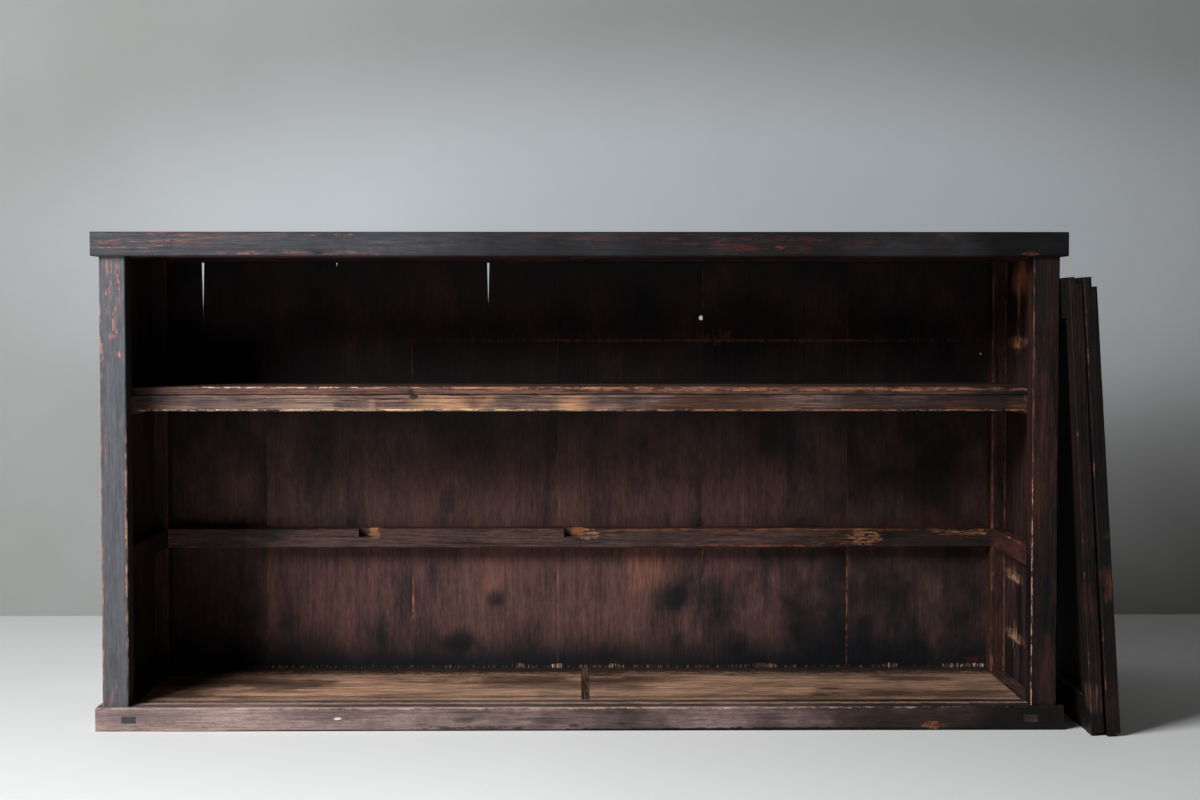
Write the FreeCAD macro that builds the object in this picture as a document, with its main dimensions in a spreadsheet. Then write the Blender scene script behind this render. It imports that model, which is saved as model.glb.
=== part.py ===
import FreeCAD, Part
import math
import os
import Sketcher

# Driving sizes of the case and its two doors, in millimetres
SIZES = {
    # Frame of posts
    "case_width": 1791,
    "case_height": 932,
    "frame_depth": 428.5,
    "post_width": 49,
    "post_depth": 50,
    "arris": 1.5,
    "joint_play": 0.1,
    # Sill under the front posts, with two shallow door tracks
    "sill_height": 44,
    "sill_projection": 15.5,
    "sill_overhang": 10.5,
    "sill_hollow": 3,
    "hollow_margin": 90,
    "hollow_taper": 320,
    # Head rail on the front posts, with two deep door tracks
    "head_height": 45,
    "head_projection": 12,
    "head_overhang": 13.5,
    "track_depth": 78,
    "front_track_width": 10.5,
    "rear_track_start": 42,
    "rear_track_width": 15,
    "sill_track_depth": 2.5,
    "head_track_depth": 11,
    # Tenons
    "post_tenon_thickness": 20,
    "post_tenon_depth": 32,
    "foot_tenon_length": 30,
    "through_tenon_width": 27,
    "through_tenon_height": 13,
    "through_tenon_rise": 15.5,
    "rail_tenon_length": 25,
    "rail_tenon_thickness": 16,
    "rail_tenon_inset": 6,
    "side_tenon_length": 14,
    "side_tenon_thickness": 14,
    # Base rails, joist and floor boards
    "base_rail_reveal": 4.5,
    "floor_thickness": 12,
    "floor_ledge": 12,
    "floor_board_width": 258,
    "joist_width": 40,
    "joist_tongue": 14,
    "joist_offset": 9,
    "seam_gap": 0.8,
    # Side boards in grooves
    "panel_recess": 28.3,
    "side_thickness": 10,
    "panel_groove": 8,
    "groove_end_play": 1,
    "side_board_width": 226,
    "side_lap": 6,
    # Ledgers of the middle shelf
    "ledger_rise": 301.5,
    "ledger_height": 38.5,
    "notch_width": 39.5,
    "notch_depth": 17,
    "notch_reach": 25,
    "left_notch_place": 410.5,
    "right_notch_place": 832,
    # Upper shelf
    "shelf_rise": 641,
    "shelf_thickness": 15.3,
    "shelf_setback": 81,
    "shelf_rail_height": 31,
    "shelf_rail_depth": 30,
    "shelf_board_width": 175,
    "cleat_height": 36,
    "shelf_tenon_length": 12,
    # Top boards
    "top_thickness": 12,
    "top_ledge": 12,
    "top_back_overhang": 5,
    "top_board_width": 193,
    # Back boards, with shrinkage splits and two small holes
    "back_thickness": 9,
    "back_lift": 4,
    "back_margin": 6,
    "back_seam_gap": 0.2,
    "long_split_inset": 108.7,
    "long_split_length": 168,
    "long_split_width": 7,
    "short_split_inset": 145.6,
    "short_split_length": 44,
    "short_split_width": 11,
    "middle_split_inset": 157.7,
    "middle_split_length": 124,
    "middle_split_width": 6,
    "knot_inset": 3.2,
    "knot_drop": 146.5,
    "knot_radius": 4.8,
    "pin_hole_inset": 57.1,
    "pin_hole_drop": 221,
    "pin_hole_radius": 1.8,
    # Square nails through the back boards
    "nail_width": 3,
    "nail_head_width": 7,
    "nail_head_thickness": 1.6,
    "nail_bite": 20,
    # Sliding doors
    "door_overlap": 44,
    "head_bite": 2.5,
    "track_play": 1,
    "door_thickness": 24,
    "door_stile": 44,
    "door_top_rail": 76,
    "door_bottom_rail": 67,
    "door_arris": 1.2,
    "door_tenon_length": 30,
    "door_tenon_thickness": 6,
    "door_tenon_inset": 14,
    "door_panel_setback": 12,
    "door_panel_thickness": 7,
    "door_groove": 8,
    "panel_lap": 5,
    "batten_height": 30,
    "rear_tongue_height": 18,
    "foot_tongue_height": 5,
    "pull_width": 16,
    "pull_length": 70,
    "pull_depth": 8,
    "pull_rise": 400,
    # Doors leaning on the right side of the case
    "foot_out": 49,
    "lean_gap": 0.3,
    "foot_gap": 4,
    "front_door_reach": 72,
    "rear_door_reach": 79,
}

# Shares of the back's width at which the seams between its boards stand
SEAM_SHARES = (0.1346, 0.3039, 0.4732, 0.6426, 0.8119)

# Shares of a back board's width at which its nails stand
NAIL_SHARES = (0.25, 0.75)

# Shares of a door panel's height at which its battens stand
BATTEN_SHARES = (0.27, 0.73)

DOOR_BOARDS = 3


class Length:
    """A length with its value and the formula that ties it to the sheet."""

    def __init__(self, text, value):
        self.text = text
        self.value = value

    def __add__(self, other):
        other = as_length(other)
        return Length(f"({self.text} + {other.text})", self.value + other.value)

    def __sub__(self, other):
        other = as_length(other)
        return Length(f"({self.text} - {other.text})", self.value - other.value)

    def __mul__(self, other):
        other = as_length(other)
        return Length(f"({self.text} * {other.text})", self.value * other.value)

    def __truediv__(self, other):
        other = as_length(other)
        return Length(f"({self.text} / {other.text})", self.value / other.value)

    def __neg__(self):
        return Length(f"(-{self.text})", -self.value)

    __radd__ = __add__
    __rmul__ = __mul__


def as_length(number):
    if isinstance(number, Length):
        return number
    return Length(str(number), float(number))


def slope_angle(rise, slant):
    """The angle, in degrees, whose sine is rise over slant."""
    return Length(f"asin({rise.text} / {slant.text})", math.degrees(math.asin(rise.value / slant.value)))


def sine(angle):
    return Length(f"sin({angle.text})", math.sin(math.radians(angle.value)))


def cosine(angle):
    return Length(f"cos({angle.text})", math.cos(math.radians(angle.value)))


def about(centre, width):
    """The span of a width about a centre."""
    return (centre - width / 2, centre + width / 2)


def grown(span, play):
    return (span[0] - play, span[1] + play)


def mirrored_span(span):
    return (-span[1], -span[0])


def rectangle(u, v):
    return [(u[0], v[0]), (u[1], v[0]), (u[1], v[1]), (u[0], v[1])]


def arrised(u, v, edge):
    """A rectangle with its four corners taken off."""
    return [
        (u[0] + edge, v[0]),
        (u[1] - edge, v[0]),
        (u[1], v[0] + edge),
        (u[1], v[1] - edge),
        (u[1] - edge, v[1]),
        (u[0] + edge, v[1]),
        (u[0], v[1] - edge),
        (u[0], v[0] + edge),
    ]


document = FreeCAD.newDocument("tansu")
sheet = document.addObject("Spreadsheet::Sheet", "Sizes")


def write_sheet():
    """Write each size into the sheet and return the sizes as lengths."""
    lengths = {}
    for row, (alias, value) in enumerate(SIZES.items(), start=1):
        sheet.set(f"A{row}", alias)
        sheet.set(f"B{row}", str(value))
        sheet.setAlias(f"B{row}", alias)
        lengths[alias] = Length(f"Sizes.{alias}", float(value))
    document.recompute()
    return lengths


class Sheet:
    """The sizes of the sheet, read by name."""

    def __init__(self, lengths):
        self.__dict__.update(lengths)


s = Sheet(write_sheet())

# Origin plane, sketch directions and sense of the normal for a run along each axis
RUNS = {
    "x": ("YZ_Plane", "y", "z", 1),
    "y": ("XZ_Plane", "x", "z", -1),
    "z": ("XY_Plane", "x", "y", 1),
}

pieces = []
steps = []


class Piece:
    """One piece: a body at its own low corner, made by pads and pockets.

    Spans are given in the frame of the whole object, or of the door that carries the piece."""

    def __init__(self, label, x, y, z, along, edge=None, outline=None, carrier=None):
        self.corner = {"x": x[0], "y": y[0], "z": z[0]}
        self.body = document.addObject("PartDesign::Body", label)
        self.body.Label = label
        at = "; ".join(self.corner[axis].text for axis in "xyz")
        place = f"placement(vector({at}); rotation(vector(0; 0; 1); 0))"
        if carrier:
            place = f"{carrier} * {place}"
        self.body.setExpression("Placement", place)
        spans = {"x": x, "y": y, "z": z}
        u = spans[RUNS[along][1]]
        v = spans[RUNS[along][2]]
        if outline is None:
            outline = arrised(u, v, edge) if edge else rectangle(u, v)
        self.add(along, [outline], spans[along])
        pieces.append(self.body)

    def sketch(self, along, start):
        """An empty sketch square to an axis, at a place along it."""
        role, u_axis, v_axis, sense = RUNS[along]
        plane = [f for f in self.body.Origin.OriginFeatures if f.Role == role][0]
        sketch = self.body.newObject("Sketcher::SketchObject", "Outline")
        sketch.AttachmentSupport = (plane, [""])
        sketch.MapMode = "FlatFace"
        offset = (start - self.corner[along]) * sense
        sketch.setExpression("AttachmentOffset.Base.z", offset.text)
        return sketch

    def local(self, along, corner):
        """A corner of an outline in the piece's own frame."""
        u_axis = RUNS[along][1]
        v_axis = RUNS[along][2]
        return (corner[0] - self.corner[u_axis], corner[1] - self.corner[v_axis])

    def draw(self, sketch, along, outlines):
        """Closed outlines of straight lines, each corner tied to its sizes."""
        lines = []
        joins = []
        ties = []
        formulas = []
        for outline in outlines:
            corners = [self.local(along, corner) for corner in outline]
            points = [FreeCAD.Vector(u.value, v.value, 0) for u, v in corners]
            first = len(lines)
            count = len(corners)
            for index in range(count):
                following = (index + 1) % count
                lines.append(Part.LineSegment(points[index], points[following]))
                joins.append(Sketcher.Constraint("Coincident", first + index, 2, first + following, 1))
            for index, (u, v) in enumerate(corners):
                ties.append(Sketcher.Constraint("DistanceX", -1, 1, first + index, 1, u.value))
                ties.append(Sketcher.Constraint("DistanceY", -1, 1, first + index, 1, v.value))
                formulas += [u.text, v.text]
        sketch.addGeometry(lines, False)
        sketch.addConstraint(joins + ties)
        for index, formula in enumerate(formulas, start=len(joins)):
            sketch.setExpression(f"Constraints[{index}]", formula)

    def run(self, kind, sketch, along, span):
        """A pad or pocket of a sketch over a span."""
        before = self.body.Tip
        feature = self.body.newObject(kind, kind.split("::")[1])
        feature.Profile = sketch
        forward = RUNS[along][3] == 1
        feature.Reversed = forward if kind == "PartDesign::Pocket" else not forward
        feature.setExpression("Length", (span[1] - span[0]).text)
        steps.append((feature, before))

    def add(self, along, outlines, span):
        sketch = self.sketch(along, span[0])
        self.draw(sketch, along, outlines)
        self.run("PartDesign::Pad", sketch, along, span)

    def cut(self, along, outlines, span):
        sketch = self.sketch(along, span[0])
        self.draw(sketch, along, outlines)
        self.run("PartDesign::Pocket", sketch, along, span)

    def bore(self, along, centre, radius, span):
        """A round hole."""
        sketch = self.sketch(along, span[0])
        u, v = self.local(along, centre)
        middle = FreeCAD.Vector(u.value, v.value, 0)
        sketch.addGeometry(Part.Circle(middle, FreeCAD.Vector(0, 0, 1), radius.value), False)
        sketch.addConstraint(
            [
                Sketcher.Constraint("DistanceX", -1, 1, 0, 3, u.value),
                Sketcher.Constraint("DistanceY", -1, 1, 0, 3, v.value),
                Sketcher.Constraint("Radius", 0, radius.value),
            ]
        )
        for index, formula in enumerate([u.text, v.text, radius.text]):
            sketch.setExpression(f"Constraints[{index}]", formula)
        self.run("PartDesign::Pocket", sketch, along, span)

    def tenon(self, x, y, z):
        self.add("z", [rectangle(x, y)], z)

    def mortise(self, x, y, z):
        self.cut("z", [rectangle(x, y)], z)


def block(label, x, y, z, carrier=None):
    """A plain block, for small pieces that share a node."""
    box = document.addObject("Part::Box", label)
    box.setExpression("Length", (x[1] - x[0]).text)
    box.setExpression("Width", (y[1] - y[0]).text)
    box.setExpression("Height", (z[1] - z[0]).text)
    place = f"placement(vector({x[0].text}; {y[0].text}; {z[0].text}); rotation(vector(0; 0; 1); 0))"
    box.setExpression("Placement", f"{carrier} * {place}" if carrier else place)
    return box


def grouped(label, members):
    """Small pieces of one kind in one node, each a solid of its own."""
    group = document.addObject("Part::Compound", label)
    group.Label = label
    group.Links = members
    pieces.append(group)


def mirrored(label, source):
    """The same piece on the other side of the case."""
    twin = document.addObject("Part::Mirroring", label)
    twin.Label = label
    twin.Source = source.body
    twin.Base = FreeCAD.Vector(0, 0, 0)
    twin.Normal = FreeCAD.Vector(1, 0, 0)
    pieces.append(twin)


# Main lines of the case; the origin is on the floor, in the middle of the case
ground = as_length(0)
post_front = (s.sill_projection - s.frame_depth - s.back_thickness) / 2
post_back = post_front + s.post_depth
frame_back = post_front + s.frame_depth
rear_post_front = frame_back - s.post_depth
track_back = post_front + s.track_depth
half_case = s.case_width / 2
post_inside = half_case - s.post_width
panel_inside = post_inside + s.panel_recess
panel_outside = panel_inside + s.side_thickness
head_foot = s.case_height - s.head_height
top_foot = s.case_height - s.top_thickness
floor_foot = s.sill_height - s.floor_thickness
floor_half = post_inside - s.base_rail_reveal
post_x = (post_inside, half_case)
post_centre = (post_inside + half_case) / 2
cleat_x = (post_inside, panel_inside)
side_y = (post_back, rear_post_front)
between_posts = (-post_inside, post_inside)
rear_frame_y = (rear_post_front, frame_back)

# Heights of the rails that carry shelves and boards
rear_base_z = (ground, floor_foot)
ledger_z = (s.ledger_rise, s.ledger_rise + s.ledger_height)
shelf_foot = s.shelf_rise - s.shelf_thickness
cleat_z = (shelf_foot - s.cleat_height, shelf_foot)
head_rail_z = (head_foot, top_foot)
rear_rail_heights = (rear_base_z, ledger_z, cleat_z, head_rail_z)


def rail_tenon_z(span):
    return (span[0] + s.rail_tenon_inset, span[1] - s.rail_tenon_inset)


# Tenons of the rails that lie between the rear posts
rear_tenon_x = (post_inside, post_inside + s.rail_tenon_length)
rear_tenon_y = about((rear_post_front + frame_back + s.side_tenon_length) / 2, s.rail_tenon_thickness)

# Tenons of the side rails, ledgers and cleats, which stand clear of the side boards
side_tenon_x = about((post_inside + panel_inside) / 2, s.side_tenon_thickness)
front_side_tenon_y = (post_back - s.side_tenon_length, post_back)
rear_side_tenon_y = (rear_post_front, rear_post_front + s.side_tenon_length)

# Front post: a stub tenon below, and one above that runs through the head rail
post_tenon_x = about(post_centre, s.post_tenon_thickness)
post_tenon_y = about(post_front + s.post_depth / 2, s.post_tenon_depth)
foot_tenon_z = (s.sill_height - s.foot_tenon_length, s.sill_height)
head_tenon_z = (head_foot, s.case_height)
panel_groove_x = grown((panel_inside, panel_outside), s.joint_play)
panel_groove_z = (s.sill_height - s.panel_groove, head_foot + s.panel_groove)
front_groove_y = (post_back - s.panel_groove, post_back)
rear_groove_y = (rear_post_front, rear_post_front + s.panel_groove)

front_post = Piece(
    "front_right_post", post_x, (post_front, post_back), (s.sill_height, head_foot), "z", s.arris
)
front_post.tenon(post_tenon_x, post_tenon_y, foot_tenon_z)
front_post.tenon(post_tenon_x, post_tenon_y, head_tenon_z)
front_post.mortise(panel_groove_x, front_groove_y, (s.sill_height, head_foot))
for height in (ledger_z, cleat_z):
    front_post.mortise(
        grown(side_tenon_x, s.joint_play),
        (front_side_tenon_y[0] - s.joint_play, post_back),
        grown(rail_tenon_z(height), s.joint_play),
    )
mirrored("front_left_post", front_post)

# Rear post: it stands on the floor and reaches up to the top boards
base_rail_x = (floor_half - s.floor_ledge, half_case)
base_rail_tenon_z = rail_tenon_z((ground, s.sill_height))

rear_post = Piece("rear_right_post", post_x, rear_frame_y, (ground, top_foot), "z", s.arris)
rear_post.mortise(panel_groove_x, rear_groove_y, panel_groove_z)
for height in ((ground, s.sill_height), ledger_z, cleat_z, head_rail_z):
    rear_post.mortise(
        grown(side_tenon_x, s.joint_play),
        (rear_post_front, rear_side_tenon_y[1] + s.joint_play),
        grown(rail_tenon_z(height), s.joint_play),
    )
for height in rear_rail_heights:
    rear_post.mortise(
        (post_inside, rear_tenon_x[1] + s.joint_play),
        grown(rear_tenon_y, s.joint_play),
        grown(rail_tenon_z(height), s.joint_play),
    )
mirrored("rear_left_post", rear_post)

# Door tracks: the front one starts at the posts' front face
front_track_y = (post_front, post_front + s.front_track_width)
rear_track_y = (
    post_front + s.rear_track_start,
    post_front + s.rear_track_start + s.rear_track_width,
)

# Front sill: a thick plank under the front posts, hollowed a little underneath
sill_half = half_case + s.sill_overhang
sill_y = (post_front - s.sill_projection, track_back)
through_tenon_x = (
    floor_half - s.floor_ledge + s.joint_play,
    floor_half - s.floor_ledge + s.joint_play + s.through_tenon_width,
)
through_tenon_z = (s.through_tenon_rise, s.through_tenon_rise + s.through_tenon_height)
joist_x = about(s.joist_offset, s.joist_width)
joist_tenon_x = (joist_x[0] + s.rail_tenon_inset, joist_x[1] - s.rail_tenon_inset)
joist_tenon_z = rail_tenon_z((ground, floor_foot))

sill = Piece("front_sill", (-sill_half, sill_half), sill_y, (ground, s.sill_height), "x", s.arris)
hollow_end = sill_half - s.hollow_margin
sill.cut(
    "y",
    [
        [
            (-hollow_end, ground),
            (hollow_end, ground),
            (hollow_end - s.hollow_taper, s.sill_hollow),
            (s.hollow_taper - hollow_end, s.sill_hollow),
        ]
    ],
    sill_y,
)
for track_y in (front_track_y, rear_track_y):
    sill.mortise(between_posts, track_y, (s.sill_height - s.sill_track_depth, s.sill_height))
sill.mortise((-floor_half, floor_half), (track_back - s.floor_ledge, track_back), (floor_foot, s.sill_height))
for span in (post_tenon_x, mirrored_span(post_tenon_x)):
    sill.mortise(
        grown(span, s.joint_play),
        grown(post_tenon_y, s.joint_play),
        (foot_tenon_z[0] - s.joint_play, s.sill_height),
    )
for span in (through_tenon_x, mirrored_span(through_tenon_x)):
    sill.mortise(grown(span, s.joint_play), sill_y, grown(through_tenon_z, s.joint_play))
for span in (panel_groove_x, mirrored_span(panel_groove_x)):
    sill.mortise(span, (front_groove_y[0], track_back), (panel_groove_z[0], s.sill_height))
sill.mortise(
    grown(joist_tenon_x, s.joint_play),
    (track_back - s.rail_tenon_length - s.joint_play, track_back),
    grown(joist_tenon_z, s.joint_play),
)

# Head rail: the same plank above, with deep tracks and a rabbet for the top boards
head_half = half_case + s.head_overhang
head_y = (post_front - s.head_projection, track_back)
top_joist_x = about(ground, s.joist_width)
top_joist_tenon_x = (top_joist_x[0] + s.rail_tenon_inset, top_joist_x[1] - s.rail_tenon_inset)
head_rail_tenon_z = rail_tenon_z(head_rail_z)

head = Piece("head_rail", (-head_half, head_half), head_y, (head_foot, s.case_height), "x", s.arris)
head.mortise((-head_half, head_half), (track_back - s.top_ledge, track_back), (top_foot, s.case_height))
for track_y in (front_track_y, rear_track_y):
    head.mortise(between_posts, track_y, (head_foot, head_foot + s.head_track_depth))
for span in (post_tenon_x, mirrored_span(post_tenon_x)):
    head.mortise(grown(span, s.joint_play), grown(post_tenon_y, s.joint_play), head_tenon_z)
for span in (panel_groove_x, mirrored_span(panel_groove_x)):
    head.mortise(span, (front_groove_y[0], track_back), (head_foot, panel_groove_z[1]))
for span in (side_tenon_x, mirrored_span(side_tenon_x), top_joist_tenon_x):
    head.mortise(
        grown(span, s.joint_play),
        (track_back - s.side_tenon_length - s.joint_play, track_back),
        grown(head_rail_tenon_z, s.joint_play),
    )

# Rails between the rear posts, which carry the floor, the shelves and the back boards
nail_x = []


def nail_outlines(height):
    """Square holes for the nails that enter one rail."""
    middle = (height[0] + height[1]) / 2
    return [rectangle(about(place, s.nail_width), about(middle, s.nail_width)) for place in nail_x]


def back_board_span(index):
    """The width of one back board, from the seam on its left to the one on its right."""
    left_end = s.back_margin - half_case
    back_width = s.case_width - s.back_margin * 2
    seams = [left_end + back_width * share for share in SEAM_SHARES]
    low = left_end if index == 0 else seams[index - 1] + s.back_seam_gap
    high = -left_end if index == len(seams) else seams[index]
    return (low, high)


back_board_count = len(SEAM_SHARES) + 1
for index in range(back_board_count):
    low, high = back_board_span(index)
    for share in NAIL_SHARES:
        nail_x.append(low + (high - low) * share)


def rear_rail(label, height):
    """A rail between the rear posts, with a tenon at each end and holes for the nails."""
    rail = Piece(label, between_posts, rear_frame_y, height, "x", s.arris)
    for span in (rear_tenon_x, mirrored_span(rear_tenon_x)):
        rail.tenon(span, rear_tenon_y, rail_tenon_z(height))
    rail.cut("y", nail_outlines(height), (frame_back - s.nail_bite, frame_back))
    return rail


rear_base = rear_rail("rear_base_rail", rear_base_z)
rear_base.mortise(
    grown(joist_tenon_x, s.joint_play),
    (rear_post_front, rear_side_tenon_y[1] + s.joint_play),
    grown(joist_tenon_z, s.joint_play),
)

rear_head = rear_rail("rear_head_rail", head_rail_z)
rear_head.mortise(
    grown(top_joist_tenon_x, s.joint_play),
    (rear_post_front, rear_side_tenon_y[1] + s.joint_play),
    grown(head_rail_tenon_z, s.joint_play),
)

rear_rail("rear_shelf_cleat", cleat_z)

# Rear ledger of the middle shelf, with two notches for the shelf's lost bearers
rear_ledger = rear_rail("rear_mid_ledger", ledger_z)
notch_y = (rear_post_front, rear_post_front + s.notch_reach)
notch_z = (ledger_z[1] - s.notch_depth, ledger_z[1])
for place in (s.left_notch_place, s.right_notch_place):
    rear_ledger.mortise(about(place - post_inside, s.notch_width), notch_y, notch_z)

# Base side rail: a through tenon shows on the sill's front face
base_rail = Piece(
    "right_base_rail",
    base_rail_x,
    (track_back, rear_post_front),
    (ground, s.sill_height),
    "y",
    outline=[
        (base_rail_x[0], ground),
        (half_case - s.arris, ground),
        (half_case, s.arris),
        (half_case, s.sill_height - s.arris),
        (half_case - s.arris, s.sill_height),
        (floor_half, s.sill_height),
        (floor_half, floor_foot),
        (base_rail_x[0], floor_foot),
    ],
)
base_rail.tenon(through_tenon_x, (sill_y[0], track_back), through_tenon_z)
base_rail.tenon(side_tenon_x, rear_side_tenon_y, base_rail_tenon_z)
base_rail.mortise(panel_groove_x, (track_back, rear_post_front), (panel_groove_z[0], s.sill_height))
mirrored("left_base_rail", base_rail)

# Head side rail, grooved below for the side boards
head_side = Piece(
    "right_head_rail", post_x, (track_back, rear_post_front), head_rail_z, "y", s.arris
)
head_side.tenon(side_tenon_x, (track_back - s.side_tenon_length, track_back), head_rail_tenon_z)
head_side.tenon(side_tenon_x, rear_side_tenon_y, head_rail_tenon_z)
head_side.mortise(panel_groove_x, (track_back, rear_post_front), (head_foot, panel_groove_z[1]))
mirrored("left_head_rail", head_side)

# Floor joist: its tongue fills the gap between the left and right floor boards
joist = Piece(
    "floor_joist", joist_x, (track_back, rear_post_front), (ground, floor_foot), "y"
)
joist.tenon(joist_tenon_x, (track_back - s.rail_tenon_length, track_back), joist_tenon_z)
joist.tenon(joist_tenon_x, rear_side_tenon_y, joist_tenon_z)
joist_tongue_x = about(s.joist_offset, s.joist_tongue)
floor_y = (track_back - s.floor_ledge + s.joint_play, frame_back)
joist.tenon(joist_tongue_x, floor_y, (floor_foot, s.sill_height))

# Top joist under the middle of the top boards
top_joist = Piece(
    "top_joist", top_joist_x, (track_back, rear_post_front), head_rail_z, "y", s.arris
)
top_joist.tenon(top_joist_tenon_x, (track_back - s.side_tenon_length, track_back), head_rail_tenon_z)
top_joist.tenon(top_joist_tenon_x, rear_side_tenon_y, head_rail_tenon_z)

# Floor boards, two on each side of the joist's tongue
floor_seam = floor_y[0] + s.floor_board_width
floor_z = (floor_foot, s.sill_height)
floor_left_x = (-floor_half + s.joint_play, joist_tongue_x[0] - s.seam_gap)
floor_right_x = (joist_tongue_x[1] + s.seam_gap, floor_half - s.joint_play)
for side, span in (("left", floor_left_x), ("right", floor_right_x)):
    Piece(f"floor_board_front_{side}", span, (floor_y[0], floor_seam), floor_z, "x")
    Piece(f"floor_board_rear_{side}", span, (floor_seam + s.seam_gap, frame_back), floor_z, "x")

# Side boards, lapped where they meet and held in grooves all round
side_z = (
    s.sill_height - s.panel_groove + s.groove_end_play,
    head_foot + s.panel_groove - s.groove_end_play,
)
side_front_y = post_back - s.panel_groove + s.groove_end_play
side_back_y = rear_post_front + s.panel_groove - s.groove_end_play
side_seam = post_back + s.side_board_width
side_middle = (panel_inside + panel_outside) / 2

front_side_board = Piece(
    "right_side_board_front",
    (panel_inside, panel_outside),
    (side_front_y, side_seam),
    side_z,
    "z",
    outline=[
        (panel_inside, side_front_y),
        (panel_outside, side_front_y),
        (panel_outside, side_seam + s.side_lap),
        (side_middle, side_seam + s.side_lap),
        (side_middle, side_seam),
        (panel_inside, side_seam),
    ],
)
mirrored("left_side_board_front", front_side_board)

rear_side_board = Piece(
    "right_side_board_rear",
    (panel_inside, panel_outside),
    (side_seam + s.seam_gap, side_back_y),
    side_z,
    "z",
    outline=[
        (panel_inside, side_seam + s.seam_gap),
        (side_middle - s.joint_play, side_seam + s.seam_gap),
        (side_middle - s.joint_play, side_seam + s.side_lap + s.seam_gap),
        (panel_outside, side_seam + s.side_lap + s.seam_gap),
        (panel_outside, side_back_y),
        (panel_inside, side_back_y),
    ],
)
mirrored("left_side_board_rear", rear_side_board)

# Side ledgers of the middle shelf, flush with the inner faces of the posts
side_ledger = Piece("right_mid_ledger", cleat_x, side_y, ledger_z, "y", s.arris)
side_ledger.tenon(side_tenon_x, front_side_tenon_y, rail_tenon_z(ledger_z))
side_ledger.tenon(side_tenon_x, rear_side_tenon_y, rail_tenon_z(ledger_z))
mirrored("left_mid_ledger", side_ledger)

# Side cleats of the upper shelf
shelf_front = post_front + s.shelf_setback
shelf_rail_y = (shelf_front, shelf_front + s.shelf_rail_depth)
shelf_rail_z = (shelf_foot - s.shelf_rail_height, shelf_foot)
shelf_tenon_x = (post_inside, post_inside + s.shelf_tenon_length)
shelf_tenon_y = (shelf_rail_y[0] + s.rail_tenon_inset, shelf_rail_y[1] - s.rail_tenon_inset)

cleat = Piece("right_shelf_cleat", cleat_x, side_y, cleat_z, "y", s.arris)
cleat.tenon(side_tenon_x, front_side_tenon_y, rail_tenon_z(cleat_z))
cleat.tenon(side_tenon_x, rear_side_tenon_y, rail_tenon_z(cleat_z))
cleat.mortise(
    (post_inside, shelf_tenon_x[1] + s.joint_play),
    grown(shelf_tenon_y, s.joint_play),
    grown(rail_tenon_z(shelf_rail_z), s.joint_play),
)
mirrored("left_shelf_cleat", cleat)

# Front rail of the upper shelf, set back behind the door tracks
shelf_rail = Piece("shelf_front_rail", between_posts, shelf_rail_y, shelf_rail_z, "x", s.arris)
for span in (shelf_tenon_x, mirrored_span(shelf_tenon_x)):
    shelf_rail.tenon(span, shelf_tenon_y, rail_tenon_z(shelf_rail_z))

# Shelf boards lie on the rail and cleats; the rear one is cut round the rear posts
shelf_half = panel_inside - s.joint_play
shelf_seam = shelf_front + s.shelf_board_width
shelf_z = (shelf_foot, s.shelf_rise)
Piece("shelf_board_front", (-shelf_half, shelf_half), (shelf_front, shelf_seam), shelf_z, "x", s.arris)
shelf_rear = Piece(
    "shelf_board_rear",
    (-shelf_half, shelf_half),
    (shelf_seam + s.seam_gap, frame_back),
    shelf_z,
    "x",
)
post_notch_x = (post_inside - s.joint_play, shelf_half)
for span in (post_notch_x, mirrored_span(post_notch_x)):
    shelf_rear.mortise(span, (rear_post_front - s.joint_play, frame_back), shelf_z)

# Top boards lie in the head rail's rabbet and over the side and rear rails
top_z = (top_foot, s.case_height)
top_front_y = track_back - s.top_ledge + s.joint_play
top_seam = top_front_y + s.top_board_width
top_back_y = frame_back + s.back_thickness + s.top_back_overhang
Piece("top_board_front", (-head_half, head_half), (top_front_y, top_seam), top_z, "x")
Piece("top_board_rear", (-head_half, head_half), (top_seam + s.seam_gap, top_back_y), top_z, "x", s.arris)

# Back boards stand upright behind the frame; old splits let the light through
back_y = (frame_back, frame_back + s.back_thickness)
back_z = (s.back_lift, top_foot)
back_boards = []
for index in range(back_board_count):
    board = Piece(f"back_board_{index + 1}", back_board_span(index), back_y, back_z, "z")
    holes = []
    for height in rear_rail_heights:
        outlines = nail_outlines(height)
        pair = len(NAIL_SHARES)
        holes.extend(outlines[index * pair:index * pair + pair])
    board.cut("y", holes, back_y)
    back_boards.append(board)


def split(index, inset, length, width):
    """A split that narrows from a board's top end down to nothing."""
    place = back_board_span(index)[0] + inset
    top = back_z[1]
    wedge = [(place, top - length), (place + width / 2, top), (place - width / 2, top)]
    back_boards[index].cut("y", [wedge], back_y)


def small_hole(index, inset, drop, radius):
    """A round hole near a board's right edge, such as a lost knot leaves."""
    place = back_board_span(index)[1] - inset
    back_boards[index].bore("y", (place, back_z[1] - drop), radius, back_y)


split(0, s.long_split_inset, s.long_split_length, s.long_split_width)
split(1, s.short_split_inset, s.short_split_length, s.short_split_width)
split(2, s.middle_split_inset, s.middle_split_length, s.middle_split_width)
small_hole(3, s.knot_inset, s.knot_drop, s.knot_radius)
small_hole(5, s.pin_hole_inset, s.pin_hole_drop, s.pin_hole_radius)

# Square nails, four rows of two through each back board
nails = []
for height in rear_rail_heights:
    middle = (height[0] + height[1]) / 2
    for place in nail_x:
        shank = block(
            "nail_shank",
            about(place, s.nail_width),
            (frame_back - s.nail_bite, back_y[1]),
            about(middle, s.nail_width),
        )
        nail_head = block(
            "nail_head",
            about(place, s.nail_head_width),
            (back_y[1], back_y[1] + s.nail_head_thickness),
            about(middle, s.nail_head_width),
        )
        nail = document.addObject("Part::MultiFuse", "nail")
        nail.Shapes = [shank, nail_head]
        nails.append(nail)
grouped("back_board_nails", nails)

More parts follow.
